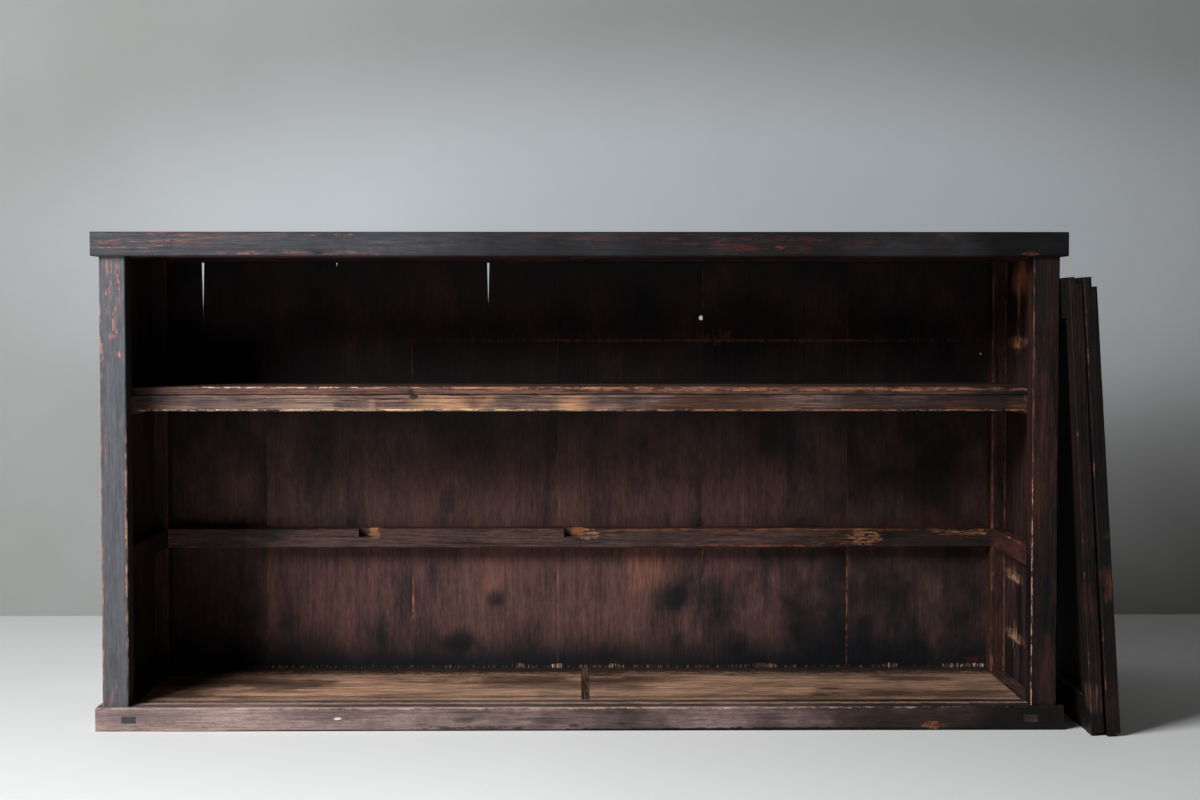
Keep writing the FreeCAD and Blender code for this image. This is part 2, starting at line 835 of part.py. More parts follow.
# Sliding doors: each fills half of the opening and laps the other by one stile.
# A door stands in the sill's track and bites a little into the head's deeper one,
# so it lifts clear of the sill and comes out.
door_width = post_inside + s.door_overlap / 2
door_height = head_foot - s.sill_height + s.sill_track_depth + s.head_bite
front_tongue_y = (ground, s.front_track_width - s.track_play)
rear_tongue_y = (s.door_thickness + s.track_play - s.rear_track_width, s.door_thickness)
panel_y = (s.door_panel_setback, s.door_panel_setback + s.door_panel_thickness)
stile_left_x = (ground, s.door_stile)
stile_right_x = (door_width - s.door_stile, door_width)
rail_x = (s.door_stile, door_width - s.door_stile)
top_rail_z = (door_height - s.door_top_rail, door_height)
bottom_rail_z = (ground, s.door_bottom_rail)
door_y = (ground, s.door_thickness)
door_groove_y = grown(panel_y, s.joint_play)
door_tenon_y = about((panel_y[0] + panel_y[1]) / 2, s.door_tenon_thickness)
door_panel_x = (s.door_stile - s.door_groove, door_width - s.door_stile + s.door_groove)
door_panel_z = (s.door_bottom_rail - s.door_groove, top_rail_z[0] + s.door_groove)


def door_rail_tenon_z(span):
    return (span[0] + s.door_tenon_inset, span[1] - s.door_tenon_inset)


def cut_tongues(piece, span_x, tongue_y, tongue_height, foot=True, top=True):
    """Rabbets that leave the tongues which run in the tracks."""
    low = tongue_y[0] is ground
    waste_y = (tongue_y[1], s.door_thickness) if low else (ground, tongue_y[0])
    if top:
        piece.mortise(span_x, waste_y, (door_height - tongue_height, door_height))
    if foot:
        piece.mortise(span_x, waste_y, (ground, s.foot_tongue_height))


def stile(label, carrier, span_x, inner_x, tongue_y, tongue_height):
    """An upright of a door, grooved for the panel and mortised for both rails."""
    piece = Piece(label, span_x, door_y, (ground, door_height), "z", s.door_arris, carrier=carrier)
    cut_tongues(piece, span_x, tongue_y, tongue_height)
    inward = inner_x is span_x[1]
    groove_x = (inner_x - s.door_groove, inner_x) if inward else (inner_x, inner_x + s.door_groove)
    deep = s.door_tenon_length + s.joint_play
    mortise_x = (inner_x - deep, inner_x) if inward else (inner_x, inner_x + deep)
    piece.mortise(groove_x, door_groove_y, door_panel_z)
    for height in (top_rail_z, bottom_rail_z):
        piece.mortise(
            mortise_x,
            grown(door_tenon_y, s.joint_play),
            grown(door_rail_tenon_z(height), s.joint_play),
        )
    return piece


def door_rail(label, carrier, height, groove_z, tongue_y, tongue_height, upper):
    """A rail of a door, tenoned into both stiles and grooved for the panel."""
    piece = Piece(label, rail_x, door_y, height, "x", s.door_arris, carrier=carrier)
    cut_tongues(piece, rail_x, tongue_y, tongue_height, foot=not upper, top=upper)
    piece.mortise(rail_x, door_groove_y, groove_z)
    for span in (
        (rail_x[0] - s.door_tenon_length, rail_x[0]),
        (rail_x[1], rail_x[1] + s.door_tenon_length),
    ):
        piece.tenon(span, door_tenon_y, door_rail_tenon_z(height))


def door_panel(name, carrier):
    """Upright boards, lapped where they meet and held in the frame's grooves."""
    low_x = door_panel_x[0] + s.groove_end_play
    high_x = door_panel_x[1] - s.groove_end_play
    span_z = (door_panel_z[0] + s.groove_end_play, door_panel_z[1] - s.groove_end_play)
    width = (high_x - low_x) / DOOR_BOARDS
    middle = (panel_y[0] + panel_y[1]) / 2
    for index in range(DOOR_BOARDS):
        left = low_x + width * index
        right = low_x + width * (index + 1)
        outline = [(left, panel_y[0])]
        if index:
            start = left + s.seam_gap
            outline = [
                (start + s.panel_lap, panel_y[1]),
                (start + s.panel_lap, middle - s.joint_play),
                (start, middle - s.joint_play),
                (start, panel_y[0]),
            ]
        else:
            outline.insert(0, (left, panel_y[1]))
        if index < DOOR_BOARDS - 1:
            outline += [
                (right, panel_y[0]),
                (right, middle),
                (right + s.panel_lap, middle),
                (right + s.panel_lap, panel_y[1]),
            ]
        else:
            outline += [(right, panel_y[0]), (right, panel_y[1])]
        Piece(
            f"{name}_panel_board_{index + 1}",
            (left, right),
            panel_y,
            span_z,
            "z",
            outline=outline,
            carrier=carrier,
        )


def door_battens(name, carrier):
    """Two thin battens across the back of the panel, between the stiles."""
    height = top_rail_z[0] - s.door_bottom_rail
    battens = []
    for share in BATTEN_SHARES:
        middle = s.door_bottom_rail + height * share
        span_z = about(middle, s.batten_height)
        battens.append(block(f"{name}_batten", rail_x, (panel_y[1], s.door_thickness), span_z, carrier))
    grouped(f"{name}_battens", battens)


def carve_pull(piece, span_x):
    """A finger pull with round ends, carved into the show face of a stile."""
    centre_x = (span_x[0] + span_x[1]) / 2
    radius = s.pull_width / 2
    low = s.pull_rise + radius
    high = s.pull_rise + s.pull_length - radius
    piece.mortise(about(centre_x, s.pull_width), (ground, s.pull_depth), (low, high))
    for end in (low, high):
        piece.bore("y", (centre_x, end), radius, (ground, s.pull_depth))


def door(name, carrier, tongue_y, tongue_height, pull_on_left):
    """One door in its own frame: x across it, y into it from the show face, z up."""
    left = stile(f"{name}_left_stile", carrier, stile_left_x, stile_left_x[1], tongue_y, tongue_height)
    right = stile(f"{name}_right_stile", carrier, stile_right_x, stile_right_x[0], tongue_y, tongue_height)
    top_groove_z = (top_rail_z[0], top_rail_z[0] + s.door_groove)
    foot_groove_z = (s.door_bottom_rail - s.door_groove, s.door_bottom_rail)
    door_rail(f"{name}_top_rail", carrier, top_rail_z, top_groove_z, tongue_y, tongue_height, True)
    door_rail(f"{name}_bottom_rail", carrier, bottom_rail_z, foot_groove_z, tongue_y, tongue_height, False)
    door_panel(name, carrier)
    door_battens(name, carrier)
    if pull_on_left:
        carve_pull(left, stile_left_x)
    else:
        carve_pull(right, stile_right_x)


# The front door leans on the case, show face inwards; its foot stands out from the case
front_lean = slope_angle(s.foot_out - s.lean_gap, door_height)
front_foot_x = half_case + s.foot_out
front_door_y = post_front - s.front_door_reach
front_carrier = (
    f"placement(vector({front_foot_x.text}; {(front_door_y + door_width).text}; 0);"
    f" rotation(vector(0; 1; 0); -{front_lean.text}) * rotation(vector(0; 0; 1); -90))"
)
door("front_door", front_carrier, front_tongue_y, s.head_track_depth, True)

# The rear door leans on the shoulder of the front door, back to back with it
shoulder = door_height - s.head_track_depth
touch_x = front_foot_x + s.door_thickness * cosine(front_lean) - shoulder * sine(front_lean)
touch_z = s.door_thickness * sine(front_lean) + shoulder * cosine(front_lean)
rear_foot_x = front_foot_x + s.door_thickness + s.foot_gap
rear_run = rear_foot_x - touch_x - s.lean_gap
rear_lean = Length(
    f"atan({rear_run.text} / {touch_z.text})",
    math.degrees(math.atan(rear_run.value / touch_z.value)),
)
rear_door_x = rear_foot_x + s.door_thickness * cosine(rear_lean)
rear_door_z = s.door_thickness * sine(rear_lean)
rear_door_y = post_front - s.rear_door_reach
rear_carrier = (
    f"placement(vector({rear_door_x.text}; {rear_door_y.text}; {rear_door_z.text});"
    f" rotation(vector(0; 1; 0); -{rear_lean.text}) * rotation(vector(0; 0; 1); 90))"
)
door("rear_door", rear_carrier, rear_tongue_y, s.rear_tongue_height, False)

# Every object must be sound before anything is written
document.recompute()
for item in document.Objects:
    if "Invalid" in item.State or "Error" in item.State:
        raise RuntimeError(f"{item.Label} failed: {item.State}")
for feature, before in steps:
    change = feature.Shape.Volume - (before.Shape.Volume if before else 0)
    grows = feature.TypeId == "PartDesign::Pad"
    if (change > 0) != grows or change == 0:
        raise RuntimeError(f"{feature.getParentGeoFeatureGroup().Label} {feature.Label} changed nothing")
for piece in pieces:
    if piece.Shape.isNull() or not piece.Shape.isValid():
        raise RuntimeError(f"{piece.Label} has no sound shape")

os.makedirs("parts", exist_ok=True)
for piece in pieces:
    piece.Shape.exportStep(f"parts/{piece.Label}.step")
print(len(pieces), "pieces written")
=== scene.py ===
import math

import bmesh
import bpy
from mathutils import Matrix, Vector, noise


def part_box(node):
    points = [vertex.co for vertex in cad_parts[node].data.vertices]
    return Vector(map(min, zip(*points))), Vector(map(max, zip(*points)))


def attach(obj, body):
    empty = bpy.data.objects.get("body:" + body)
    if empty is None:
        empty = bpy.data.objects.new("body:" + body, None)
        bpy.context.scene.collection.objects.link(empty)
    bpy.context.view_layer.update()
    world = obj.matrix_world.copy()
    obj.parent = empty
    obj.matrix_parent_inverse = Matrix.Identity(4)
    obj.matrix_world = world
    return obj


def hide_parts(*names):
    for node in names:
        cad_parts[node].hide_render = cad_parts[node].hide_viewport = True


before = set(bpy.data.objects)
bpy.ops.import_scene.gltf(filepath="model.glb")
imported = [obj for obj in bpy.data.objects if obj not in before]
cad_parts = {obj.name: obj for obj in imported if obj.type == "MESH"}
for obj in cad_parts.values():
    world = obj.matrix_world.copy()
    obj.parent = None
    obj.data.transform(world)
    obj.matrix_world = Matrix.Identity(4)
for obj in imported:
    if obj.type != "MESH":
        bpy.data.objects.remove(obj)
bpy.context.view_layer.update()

# Front sill: a thick plank under the front posts, once stained dark and rubbed to a pinkish brown
# by feet and goods. It was planed by hand, and the posts' stub tenons stand in it.


def paint(red, green, blue):
    """A colour written as the eye sees it, from 0 to 255, as the shader's linear colour."""
    linear = []
    for value in (red, green, blue):
        value = value / 255
        linear.append(value / 12.92 if value <= 0.04045 else ((value + 0.055) / 1.055) ** 2.4)
    return (*linear, 1.0)


class Tree:
    """A node tree, filled one node at a time. A value is a number or another node's socket."""

    def __init__(self, tree):
        self.tree = tree

    def feed(self, socket, value):
        if isinstance(value, bpy.types.NodeSocket):
            self.tree.links.new(value, socket)
        else:
            socket.default_value = value

    def add(self, kind, inputs=None, **settings):
        """A new node. Its inputs go by a socket's name or by its number."""
        node = self.tree.nodes.new(kind)
        for name, value in settings.items():
            setattr(node, name, value)
        for key, value in (inputs or {}).items():
            self.feed(node.inputs[key], value)
        return node

    def math(self, operation, *values):
        return self.add("ShaderNodeMath", dict(enumerate(values)), operation=operation).outputs[0]

    def line(self, value, slope, start):
        """A value on a straight line: the slope times it, and the start added."""
        return self.math("MULTIPLY_ADD", value, slope, start)

    def times(self, first, second):
        return self.math("MULTIPLY", first, second)

    def opposite(self, share):
        return self.math("SUBTRACT", 1.0, share)

    def vector(self, operation, *values):
        node = self.add("ShaderNodeVectorMath", dict(enumerate(values)), operation=operation)
        return node.outputs["Value" if operation == "LENGTH" else "Vector"]

    def noise(self, place, stretch, detail, roughness=0.5, output="Fac"):
        """Noise over a place, with that many cells to the metre along each axis."""
        stretched = self.vector("MULTIPLY", place, stretch)
        sockets = {"Vector": stretched, "Scale": 1.0, "Detail": detail, "Roughness": roughness}
        return self.add("ShaderNodeTexNoise", sockets).outputs[output]

    def between(self, value, low, high):
        """Zero below low, one above high, and a smooth step between them."""
        sockets = {"Value": value, "From Min": low, "From Max": high}
        return self.add("ShaderNodeMapRange", sockets, interpolation_type="SMOOTHSTEP").outputs["Result"]

    def blend(self, share, first, second):
        sockets = {0: share, 6: first, 7: second}
        return self.add("ShaderNodeMix", sockets, data_type="RGBA").outputs[2]

    def parts(self, place):
        return self.add("ShaderNodeSeparateXYZ", {"Vector": place}).outputs

    def joined(self, x, y, z):
        return self.add("ShaderNodeCombineXYZ", {"X": x, "Y": y, "Z": z}).outputs["Vector"]

    def upright(self, vector, turn):
        """A vector as it is in the frame of a leaning piece."""
        sockets = {"Vector": vector, **turn}
        return self.add("ShaderNodeMapping", sockets, vector_type="TEXTURE").outputs[0]

    def scaled(self, vector, share):
        return self.add("ShaderNodeVectorMath", {0: vector, "Scale": share}, operation="SCALE").outputs[0]


def placed(tree, effect, values):
    """A shared effect in a tree, with its own values."""
    return tree.add("ShaderNodeGroup", values, node_tree=effect).outputs


FLOAT = "NodeSocketFloat"
VECTOR = "NodeSocketVector"
COLOUR = "NodeSocketColor"


def floats(*labels):
    """Sockets for plain numbers."""
    return dict.fromkeys(labels, FLOAT)


def new_effect(name, inputs, outputs, kind="ShaderNodeTree"):
    """An empty shared effect: its node group, tree, inputs and outputs."""
    group = bpy.data.node_groups.new(name, kind)
    for way, labels in (("INPUT", inputs), ("OUTPUT", outputs)):
        for label, socket in labels.items():
            group.interface.new_socket(label, in_out=way, socket_type=socket)
    tree = Tree(group)
    given = tree.add("NodeGroupInput").outputs
    made = tree.add("NodeGroupOutput").inputs
    return group, tree, given, made


def grain_effect():
    """Growth rings round a wandering heart, and the fibres and streaks along the grain.

    The place runs along the grain in X."""
    group, tree, given, made = new_effect(
        "board_grain",
        {"Place": VECTOR, "Seed": FLOAT, "Heart": VECTOR, "Ring Width": FLOAT},
        floats("Rings", "Lines", "Streaks", "Fibre", "Broad", "Clouds", "Tears", "Hairs"),
    )
    place = tree.vector("ADD", given["Place"], tree.scaled((13.1, 7.7, 3.3), given["Seed"]))
    wander = tree.noise(place, (1.1, 5.0, 5.0), 2.0, output="Color")
    wander = tree.vector("SUBTRACT", wander, (0.5, 0.5, 0.5))
    wander = tree.vector("MULTIPLY", wander, (0.0, 0.08, 0.08))
    across = tree.vector("SUBTRACT", given["Place"], given["Heart"])
    across = tree.vector("ADD", tree.vector("MULTIPLY", across, (0.0, 1.0, 1.0)), wander)
    years = tree.math("DIVIDE", tree.vector("LENGTH", across), given["Ring Width"])
    streaks = tree.noise(place, (4.0, 150.0, 150.0), 3.0, 0.65)
    years = tree.line(streaks, 0.6, years)
    season = tree.math("FRACT", years)
    late = tree.between(season, 0.45, 0.85)
    early = tree.between(season, 0.88, 1.0)
    tree.feed(made["Rings"], tree.math("SUBTRACT", late, early))
    latest = tree.math("ABSOLUTE", tree.math("SUBTRACT", season, 0.86))
    tree.feed(made["Lines"], tree.opposite(tree.between(latest, 0.02, 0.08)))
    tree.feed(made["Streaks"], streaks)
    tree.feed(made["Fibre"], tree.noise(place, (16.0, 620.0, 620.0), 2.0, 0.6))
    broad = tree.noise(place, (4.0, 11.0, 11.0), 5.0, 0.68)
    tree.feed(made["Broad"], broad)
    clouds = tree.noise(place, (5.5, 7.0, 7.0), 5.0, 0.56)
    tree.feed(made["Clouds"], tree.line(clouds, 4.0, -2.0))
    tears = tree.noise(place, (42.0, 150.0, 150.0), 5.0, 0.82)
    tree.feed(made["Tears"], tree.line(tears, 4.0, -2.0))
    tree.feed(made["Hairs"], tree.between(tree.noise(place, (14.0, 330.0, 330.0), 2.0), 0.5, 0.62))
    return group


def arris_effect():
    """Wear that eats in from the arrises of a squared piece, here deep and there not at all."""
    group, tree, given, made = new_effect(
        "worn_arris",
        {
            "Place": VECTOR, "Facing": VECTOR, "Low": VECTOR, "High": VECTOR,
            **floats("Tears", "Reach", "Amount"),
        },
        floats("Wear"),
    )
    above = tree.vector("SUBTRACT", given["Place"], given["Low"])
    below = tree.vector("SUBTRACT", given["High"], given["Place"])
    x, y, z = tree.parts(tree.vector("MINIMUM", above, below))
    upright = tree.math("MINIMUM", x, y)
    level = tree.math("MAXIMUM", x, y)
    level = tree.math("MINIMUM", level, z)
    edge = tree.math("MAXIMUM", upright, level)
    spread = tree.times(given["Reach"], tree.line(given["Tears"], 1.3, 0.8))
    spread = tree.math("MAXIMUM", spread, 0.0004)
    near = tree.opposite(tree.between(tree.math("DIVIDE", edge, spread), 0.5, 1.0))
    x, y, z = tree.parts(tree.vector("ABSOLUTE", given["Facing"]))
    flat = tree.math("MAXIMUM", tree.math("MAXIMUM", x, y), z)
    turned = tree.opposite(tree.between(flat, 0.9, 0.985))
    level = tree.line(given["Amount"], -0.42, 0.72)
    handled = tree.noise(given["Place"], (17.0, 17.0, 17.0), 4.0, 0.6)
    handled = tree.line(given["Tears"], 0.06, handled)
    handled = tree.between(handled, level, tree.math("ADD", level, 0.2))
    tree.feed(made["Wear"], tree.times(tree.math("MAXIMUM", near, turned), handled))
    return group


# What a stain takes from the grain below it
FIGURE = ("Rings", "Lines", "Streaks", "Fibre", "Broad", "Tears")


def film_effect():
    """An old stain that has worn through along the grain, with bare wood where it is quite gone."""
    group, tree, given, made = new_effect(
        "old_stain",
        {
            **floats(*FIGURE, "Wear"),
            "Stain": COLOUR, "Rubbed": COLOUR, "Bare": COLOUR,
            **floats("Rubbed Share", "Ring Share", "Line Share", "Contrast", "Soot Share"),
            **floats("Fleck Share", "Softness", "Smoothness"),
        },
        {"Colour": COLOUR, "Roughness": FLOAT, "Height": FLOAT},
    )
    figure = tree.line(given["Fibre"], 0.45, tree.line(given["Streaks"], 0.4, -0.425))
    figure = tree.times(figure, given["Contrast"])
    rub = tree.line(given["Broad"], 0.8, figure)
    rub = tree.line(given["Tears"], 0.07, rub)
    rub = tree.line(given["Rings"], given["Ring Share"], rub)
    rub = tree.line(given["Rubbed Share"], 0.5, rub)
    half = tree.times(given["Softness"], 0.5)
    worn = tree.between(rub, tree.math("SUBTRACT", 0.65, half), tree.math("ADD", 0.65, half))
    shown = tree.line(given["Tears"], 0.1, given["Broad"])
    shown = tree.times(tree.between(shown, 0.48, 0.62), given["Line Share"])
    worn = tree.math("MAXIMUM", worn, tree.times(given["Lines"], shown))
    fine = tree.line(figure, 2.0, tree.line(given["Tears"], 0.34, 1.0))
    tone = tree.line(given["Rings"], tree.times(given["Ring Share"], -1.2), fine)
    sooty = tree.line(given["Soot Share"], 0.5, tree.opposite(given["Broad"]))
    sooty = tree.between(tree.line(given["Tears"], 0.03, sooty), 0.72, 0.92)
    stain = tree.scaled(given["Stain"], fine)
    stain = tree.blend(sooty, stain, tree.vector("MULTIPLY", stain, (0.4, 0.52, 0.7)))
    rubbed = tree.scaled(given["Rubbed"], tone)
    bare = tree.scaled(given["Bare"], tree.line(given["Tears"], 0.15, tone))
    worn = tree.times(worn, tree.opposite(sooty))
    flecks = tree.times(tree.between(given["Tears"], 0.75, 1.0), given["Fleck Share"])
    chipped = tree.math("MAXIMUM", given["Wear"], flecks)
    tree.feed(made["Colour"], tree.blend(chipped, tree.blend(worn, stain, rubbed), bare))
    rough = tree.line(worn, 0.12, given["Smoothness"])
    rough = tree.line(given["Wear"], 0.2, rough)
    tree.feed(made["Roughness"], tree.line(given["Fibre"], 0.12, rough))
    height = tree.line(given["Rings"], 0.3, tree.times(given["Fibre"], 0.7))
    tree.feed(made["Height"], tree.line(given["Wear"], -0.7, height))
    return group


def mark_effect():
    """One stain, scuff, bare place or patch of painted shade, torn at its edge and, if asked, broken into
    hair lines.
    """
    group, tree, given, made = new_effect(
        "placed_mark",
        {
            "Place": VECTOR, "Centre": VECTOR, "Size": VECTOR,
            **floats("Tears", "Hair Lines", "Ragged", "Edge", "Hairs", "Strength"),
        },
        floats("Mark"),
    )
    inside = tree.vector("SUBTRACT", given["Place"], given["Centre"])
    inside = tree.vector("LENGTH", tree.vector("DIVIDE", inside, given["Size"]))
    depth = tree.opposite(inside)
    depth = tree.math("ADD", depth, tree.times(given["Tears"], given["Ragged"]))
    nearby = tree.opposite(tree.between(inside, 1.0, 1.5))
    whole = tree.times(tree.between(depth, 0.05, given["Edge"]), nearby)
    kept = tree.opposite(given["Hair Lines"])
    kept = tree.opposite(tree.times(given["Hairs"], kept))
    tree.feed(made["Mark"], tree.times(tree.times(whole, kept), given["Strength"]))
    return group


board_grain = grain_effect()
worn_arris = arris_effect()
old_stain = film_effect()
placed_mark = mark_effect()

# Which axis of a piece comes first, second and third when its grain comes first
GRAIN_ORDER = {"x": (0, 1, 2), "y": (1, 0, 2), "z": (2, 0, 1)}
# A mark's size across a face, where only its size on the face counts
DEEP = 9.0


def corners_of(mesh, stand):
    """The lowest and highest corner of a mesh in the frame that it was made in."""
    upright = stand.inverted()
    places = [upright @ corner.co for corner in mesh.vertices]
    low = Vector(min(place[axis] for place in places) for axis in range(3))
    high = Vector(max(place[axis] for place in places) for axis in range(3))
    return low, high


def new_material(name):
    """An empty material and its tree."""
    material = bpy.data.materials.new(name)
    material.use_nodes = True
    material.node_tree.nodes.clear()
    return material, Tree(material.node_tree)


def surfaced(tree, sockets, height, strength, distance):
    """A surface with a bump of its own."""
    bump = tree.add("ShaderNodeBump", {"Height": height, "Strength": strength, "Distance": distance})
    sockets = {**sockets, "Normal": bump.outputs["Normal"]}
    return tree.add("ShaderNodeBsdfPrincipled", sockets).outputs["BSDF"]


def old_wood(
    name, mesh, grain, stain, rubbed, bare, share, seed,
    heart=(0.0, 0.3, 0.4), ring=0.006, rings=0.06, lines=0.0, contrast=1.0, soot=0.2, flecks=0.4,
    soft=0.45, smooth=0.42, gloss=0.2, reach=0.002, knocked=0.45, ends=False, stand=None, marks=(),
):
    """The finish of one piece of wood, with its own grain, wear and marks; some of the marks are painted
    shade.

    A mark is its colour, strength, place, size, raggedness and share of hair lines. Below zero,
    the raggedness is that of soft clouds."""
    material, tree = new_material(name)
    order = GRAIN_ORDER[grain]
    here = tree.add("ShaderNodeTexCoord").outputs
    place = here["Object"]
    facing = here["Normal"]
    if stand:
        turn = {"Location": stand.to_translation(), "Rotation": stand.to_euler()}
        place = tree.upright(place, turn)
        turn["Location"] = (0.0, 0.0, 0.0)
        facing = tree.upright(facing, turn)
    if grain != "x":
        parts = tree.parts(place)
        place = tree.joined(*(parts[axis] for axis in order))
        parts = tree.parts(facing)
        facing = tree.joined(*(parts[axis] for axis in order))
    corners = corners_of(mesh, stand or Matrix())
    low, high = (Vector(corner[axis] for axis in order) for corner in corners)
    if not ends:
        low.x -= 1.0
        high.x += 1.0
    grown = placed(tree, board_grain, {
        "Place": place, "Seed": seed,
        "Heart": ((low + high) / 2) + Vector(heart), "Ring Width": ring,
    })
    wear = placed(tree, worn_arris, {
        "Place": place, "Facing": facing, "Low": low, "High": high,
        "Tears": grown["Tears"], "Reach": reach, "Amount": knocked,
    })["Wear"]
    finish = placed(tree, old_stain, {
        **{name: grown[name] for name in FIGURE},
        "Wear": wear,
        "Stain": paint(*stain), "Rubbed": paint(*rubbed), "Bare": paint(*bare),
        "Rubbed Share": share, "Ring Share": rings, "Line Share": lines, "Contrast": contrast,
        "Soot Share": soot, "Fleck Share": flecks, "Softness": soft, "Smoothness": smooth,
    })
    colour = finish["Colour"]
    rough = finish["Roughness"]
    tone = tree.line(grown["Fibre"], 1.5, tree.line(grown["Tears"], 0.2, 0.25))
    for tint, strength, centre, size, ragged, hairs in marks:
        mark = placed(tree, placed_mark, {
            "Place": place,
            "Tears": grown["Tears"] if ragged > 0 else grown["Clouds"],
            "Hair Lines": grown["Hairs"],
            "Centre": [centre[axis] for axis in order],
            "Size": [size[axis] for axis in order],
            "Ragged": abs(ragged), "Edge": 0.4 if ragged > 0 else 1.0,
            "Hairs": hairs, "Strength": strength,
        })["Mark"]
        colour = tree.blend(mark, colour, tree.scaled(paint(*tint)[:3], tone))
        rough = tree.line(mark, 0.15, rough)
    sockets = {"Base Color": colour, "Roughness": rough, "Specular IOR Level": gloss}
    surface = surfaced(tree, sockets, finish["Height"], 0.5, 0.002)
    tree.add("ShaderNodeOutputMaterial", {"Surface": surface})
    return material


def on_face(axis, face, depth, rows):
    """Marks on a flat face across an axis, each given with its place and size on that face only."""
    marks = []
    for tint, strength, place, size, ragged, hairs in rows:
        place = (*place[:axis], face, *place[axis:])
        size = (*size[:axis], depth, *size[axis:])
        marks.append((tint, strength, place, size, ragged, hairs))
    return marks


# Cosines: over the first two normals count as one, under the second a face is a bevel, and a face
# beside a bevel is between the second and the third
FLAT = 0.999
BEVEL = 0.95
BESIDE = 0.4
# An edge runs along its piece if this share of it does, and a bevel if no more of its normal does
ALONG = 0.99
ASTRAY = 0.2
# Corners nearer than this count as one
WELD = 2e-6
# How many cells to the metre the rubbing, the chips and the splinters of an arris have
RUBBING = 30
CHIPPING = 10
SPLINTERS = 75
# Each side of an arris wears as if it were this far out, so that the two sides differ
APART = 0.02


def knocked_back(place, seed, chip):
    """How far an arris is worn at a place: rubbed all along, and chipped here and there."""
    shift = Vector((seed * 3.7, seed * 1.9, seed * 5.3))
    rubbed = 0.5 + 0.5 * noise.noise(place * RUBBING + shift)
    chipped = max(0.0, noise.noise(place * CHIPPING + shift) - 0.15)
    splinter = max(0.0, noise.noise(place * SPLINTERS - shift))
    return chip * (0.3 * rubbed + 1.8 * chipped * (0.6 + splinter))


def new_object(name, data):
    thing = bpy.data.objects.new(name, data)
    bpy.context.scene.collection.objects.link(thing)
    return thing


def stand_in(mesh, node, body):
    """An object with its own mesh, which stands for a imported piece."""
    piece = new_object(mesh.name, mesh)
    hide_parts(node)
    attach(piece, body)
    return piece


# How far apart an arris is cut, so that it can be knocked back between the cuts
STEP = 0.006


def worn_copy(node, chip, seed, body, stand):
    """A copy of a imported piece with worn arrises, which stands for the crisp one."""
    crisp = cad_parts[node].data
    low, high = corners_of(crisp, stand)
    spans = list(high - low)
    run = spans.index(max(spans))
    shape = bmesh.new()
    shape.from_mesh(crisp)
    bmesh.ops.remove_doubles(shape, verts=shape.verts, dist=WELD)
    shape.transform(stand.inverted())

    def slanted(face):
        return max(abs(part) for part in face.normal) < BEVEL

    shape.normal_update()
    seams = []
    for edge in shape.edges:
        bevels = [face for face in edge.link_faces if slanted(face)]
        if len(bevels) == len(edge.link_faces) == 2 and bevels[0].normal.dot(bevels[1].normal) > FLAT:
            seams.append(edge)
    bmesh.ops.dissolve_edges(shape, edges=seams, use_verts=False)
    groups = {}
    for edge in shape.edges:
        side = edge.verts[1].co - edge.verts[0].co
        kinds = [slanted(face) for face in edge.link_faces]
        if abs(side[run]) > ALONG * side.length and kinds.count(True) == 1 and side.length > 3 * STEP:
            groups.setdefault(int(side.length / STEP), []).append(edge)
    for cuts, edges in groups.items():
        bmesh.ops.subdivide_edges(shape, edges=edges, cuts=cuts, use_grid_fill=False)
    shape.normal_update()
    moves = []
    for vertex in shape.verts:
        faces = vertex.link_faces
        bevels = [face.normal for face in faces if slanted(face) and abs(face.normal[run]) < ASTRAY]
        sides = [face.normal for face in faces if not slanted(face)]
        if not bevels:
            continue
        bevel = bevels[0]
        for side in sides:
            if BESIDE < side.dot(bevel) < BEVEL:
                away = (side * side.dot(bevel) - bevel).normalized()
                depth = knocked_back(vertex.co + side * APART, seed, chip)
                moves.append((vertex, away * depth))
                break
    for vertex, move in moves:
        vertex.co += move
    bmesh.ops.triangulate(shape, faces=[face for face in shape.faces if len(face.verts) > 4])
    shape.transform(stand)
    mesh = bpy.data.meshes.new(f"{node}_worn")
    shape.to_mesh(mesh)
    shape.free()
    return stand_in(mesh, node, body)


def dressed(piece, **finish):
    """Gives a piece its own finish."""
    piece.data.materials.clear()
    piece.data.materials.append(old_wood(f"{piece.name}_finish", piece.data, **finish))


def worn_piece(node, slot, chip, seed, body="case", **finish):
    """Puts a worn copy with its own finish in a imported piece's place."""
    copy = worn_copy(node, chip, seed, body, finish.get("stand", Matrix()))
    dressed(copy, seed=float(seed), **finish)


SILL_LOW, SILL_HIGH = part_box("front_sill")
SILL_FRONT = SILL_LOW.y
SILL_TOP = SILL_HIGH.z

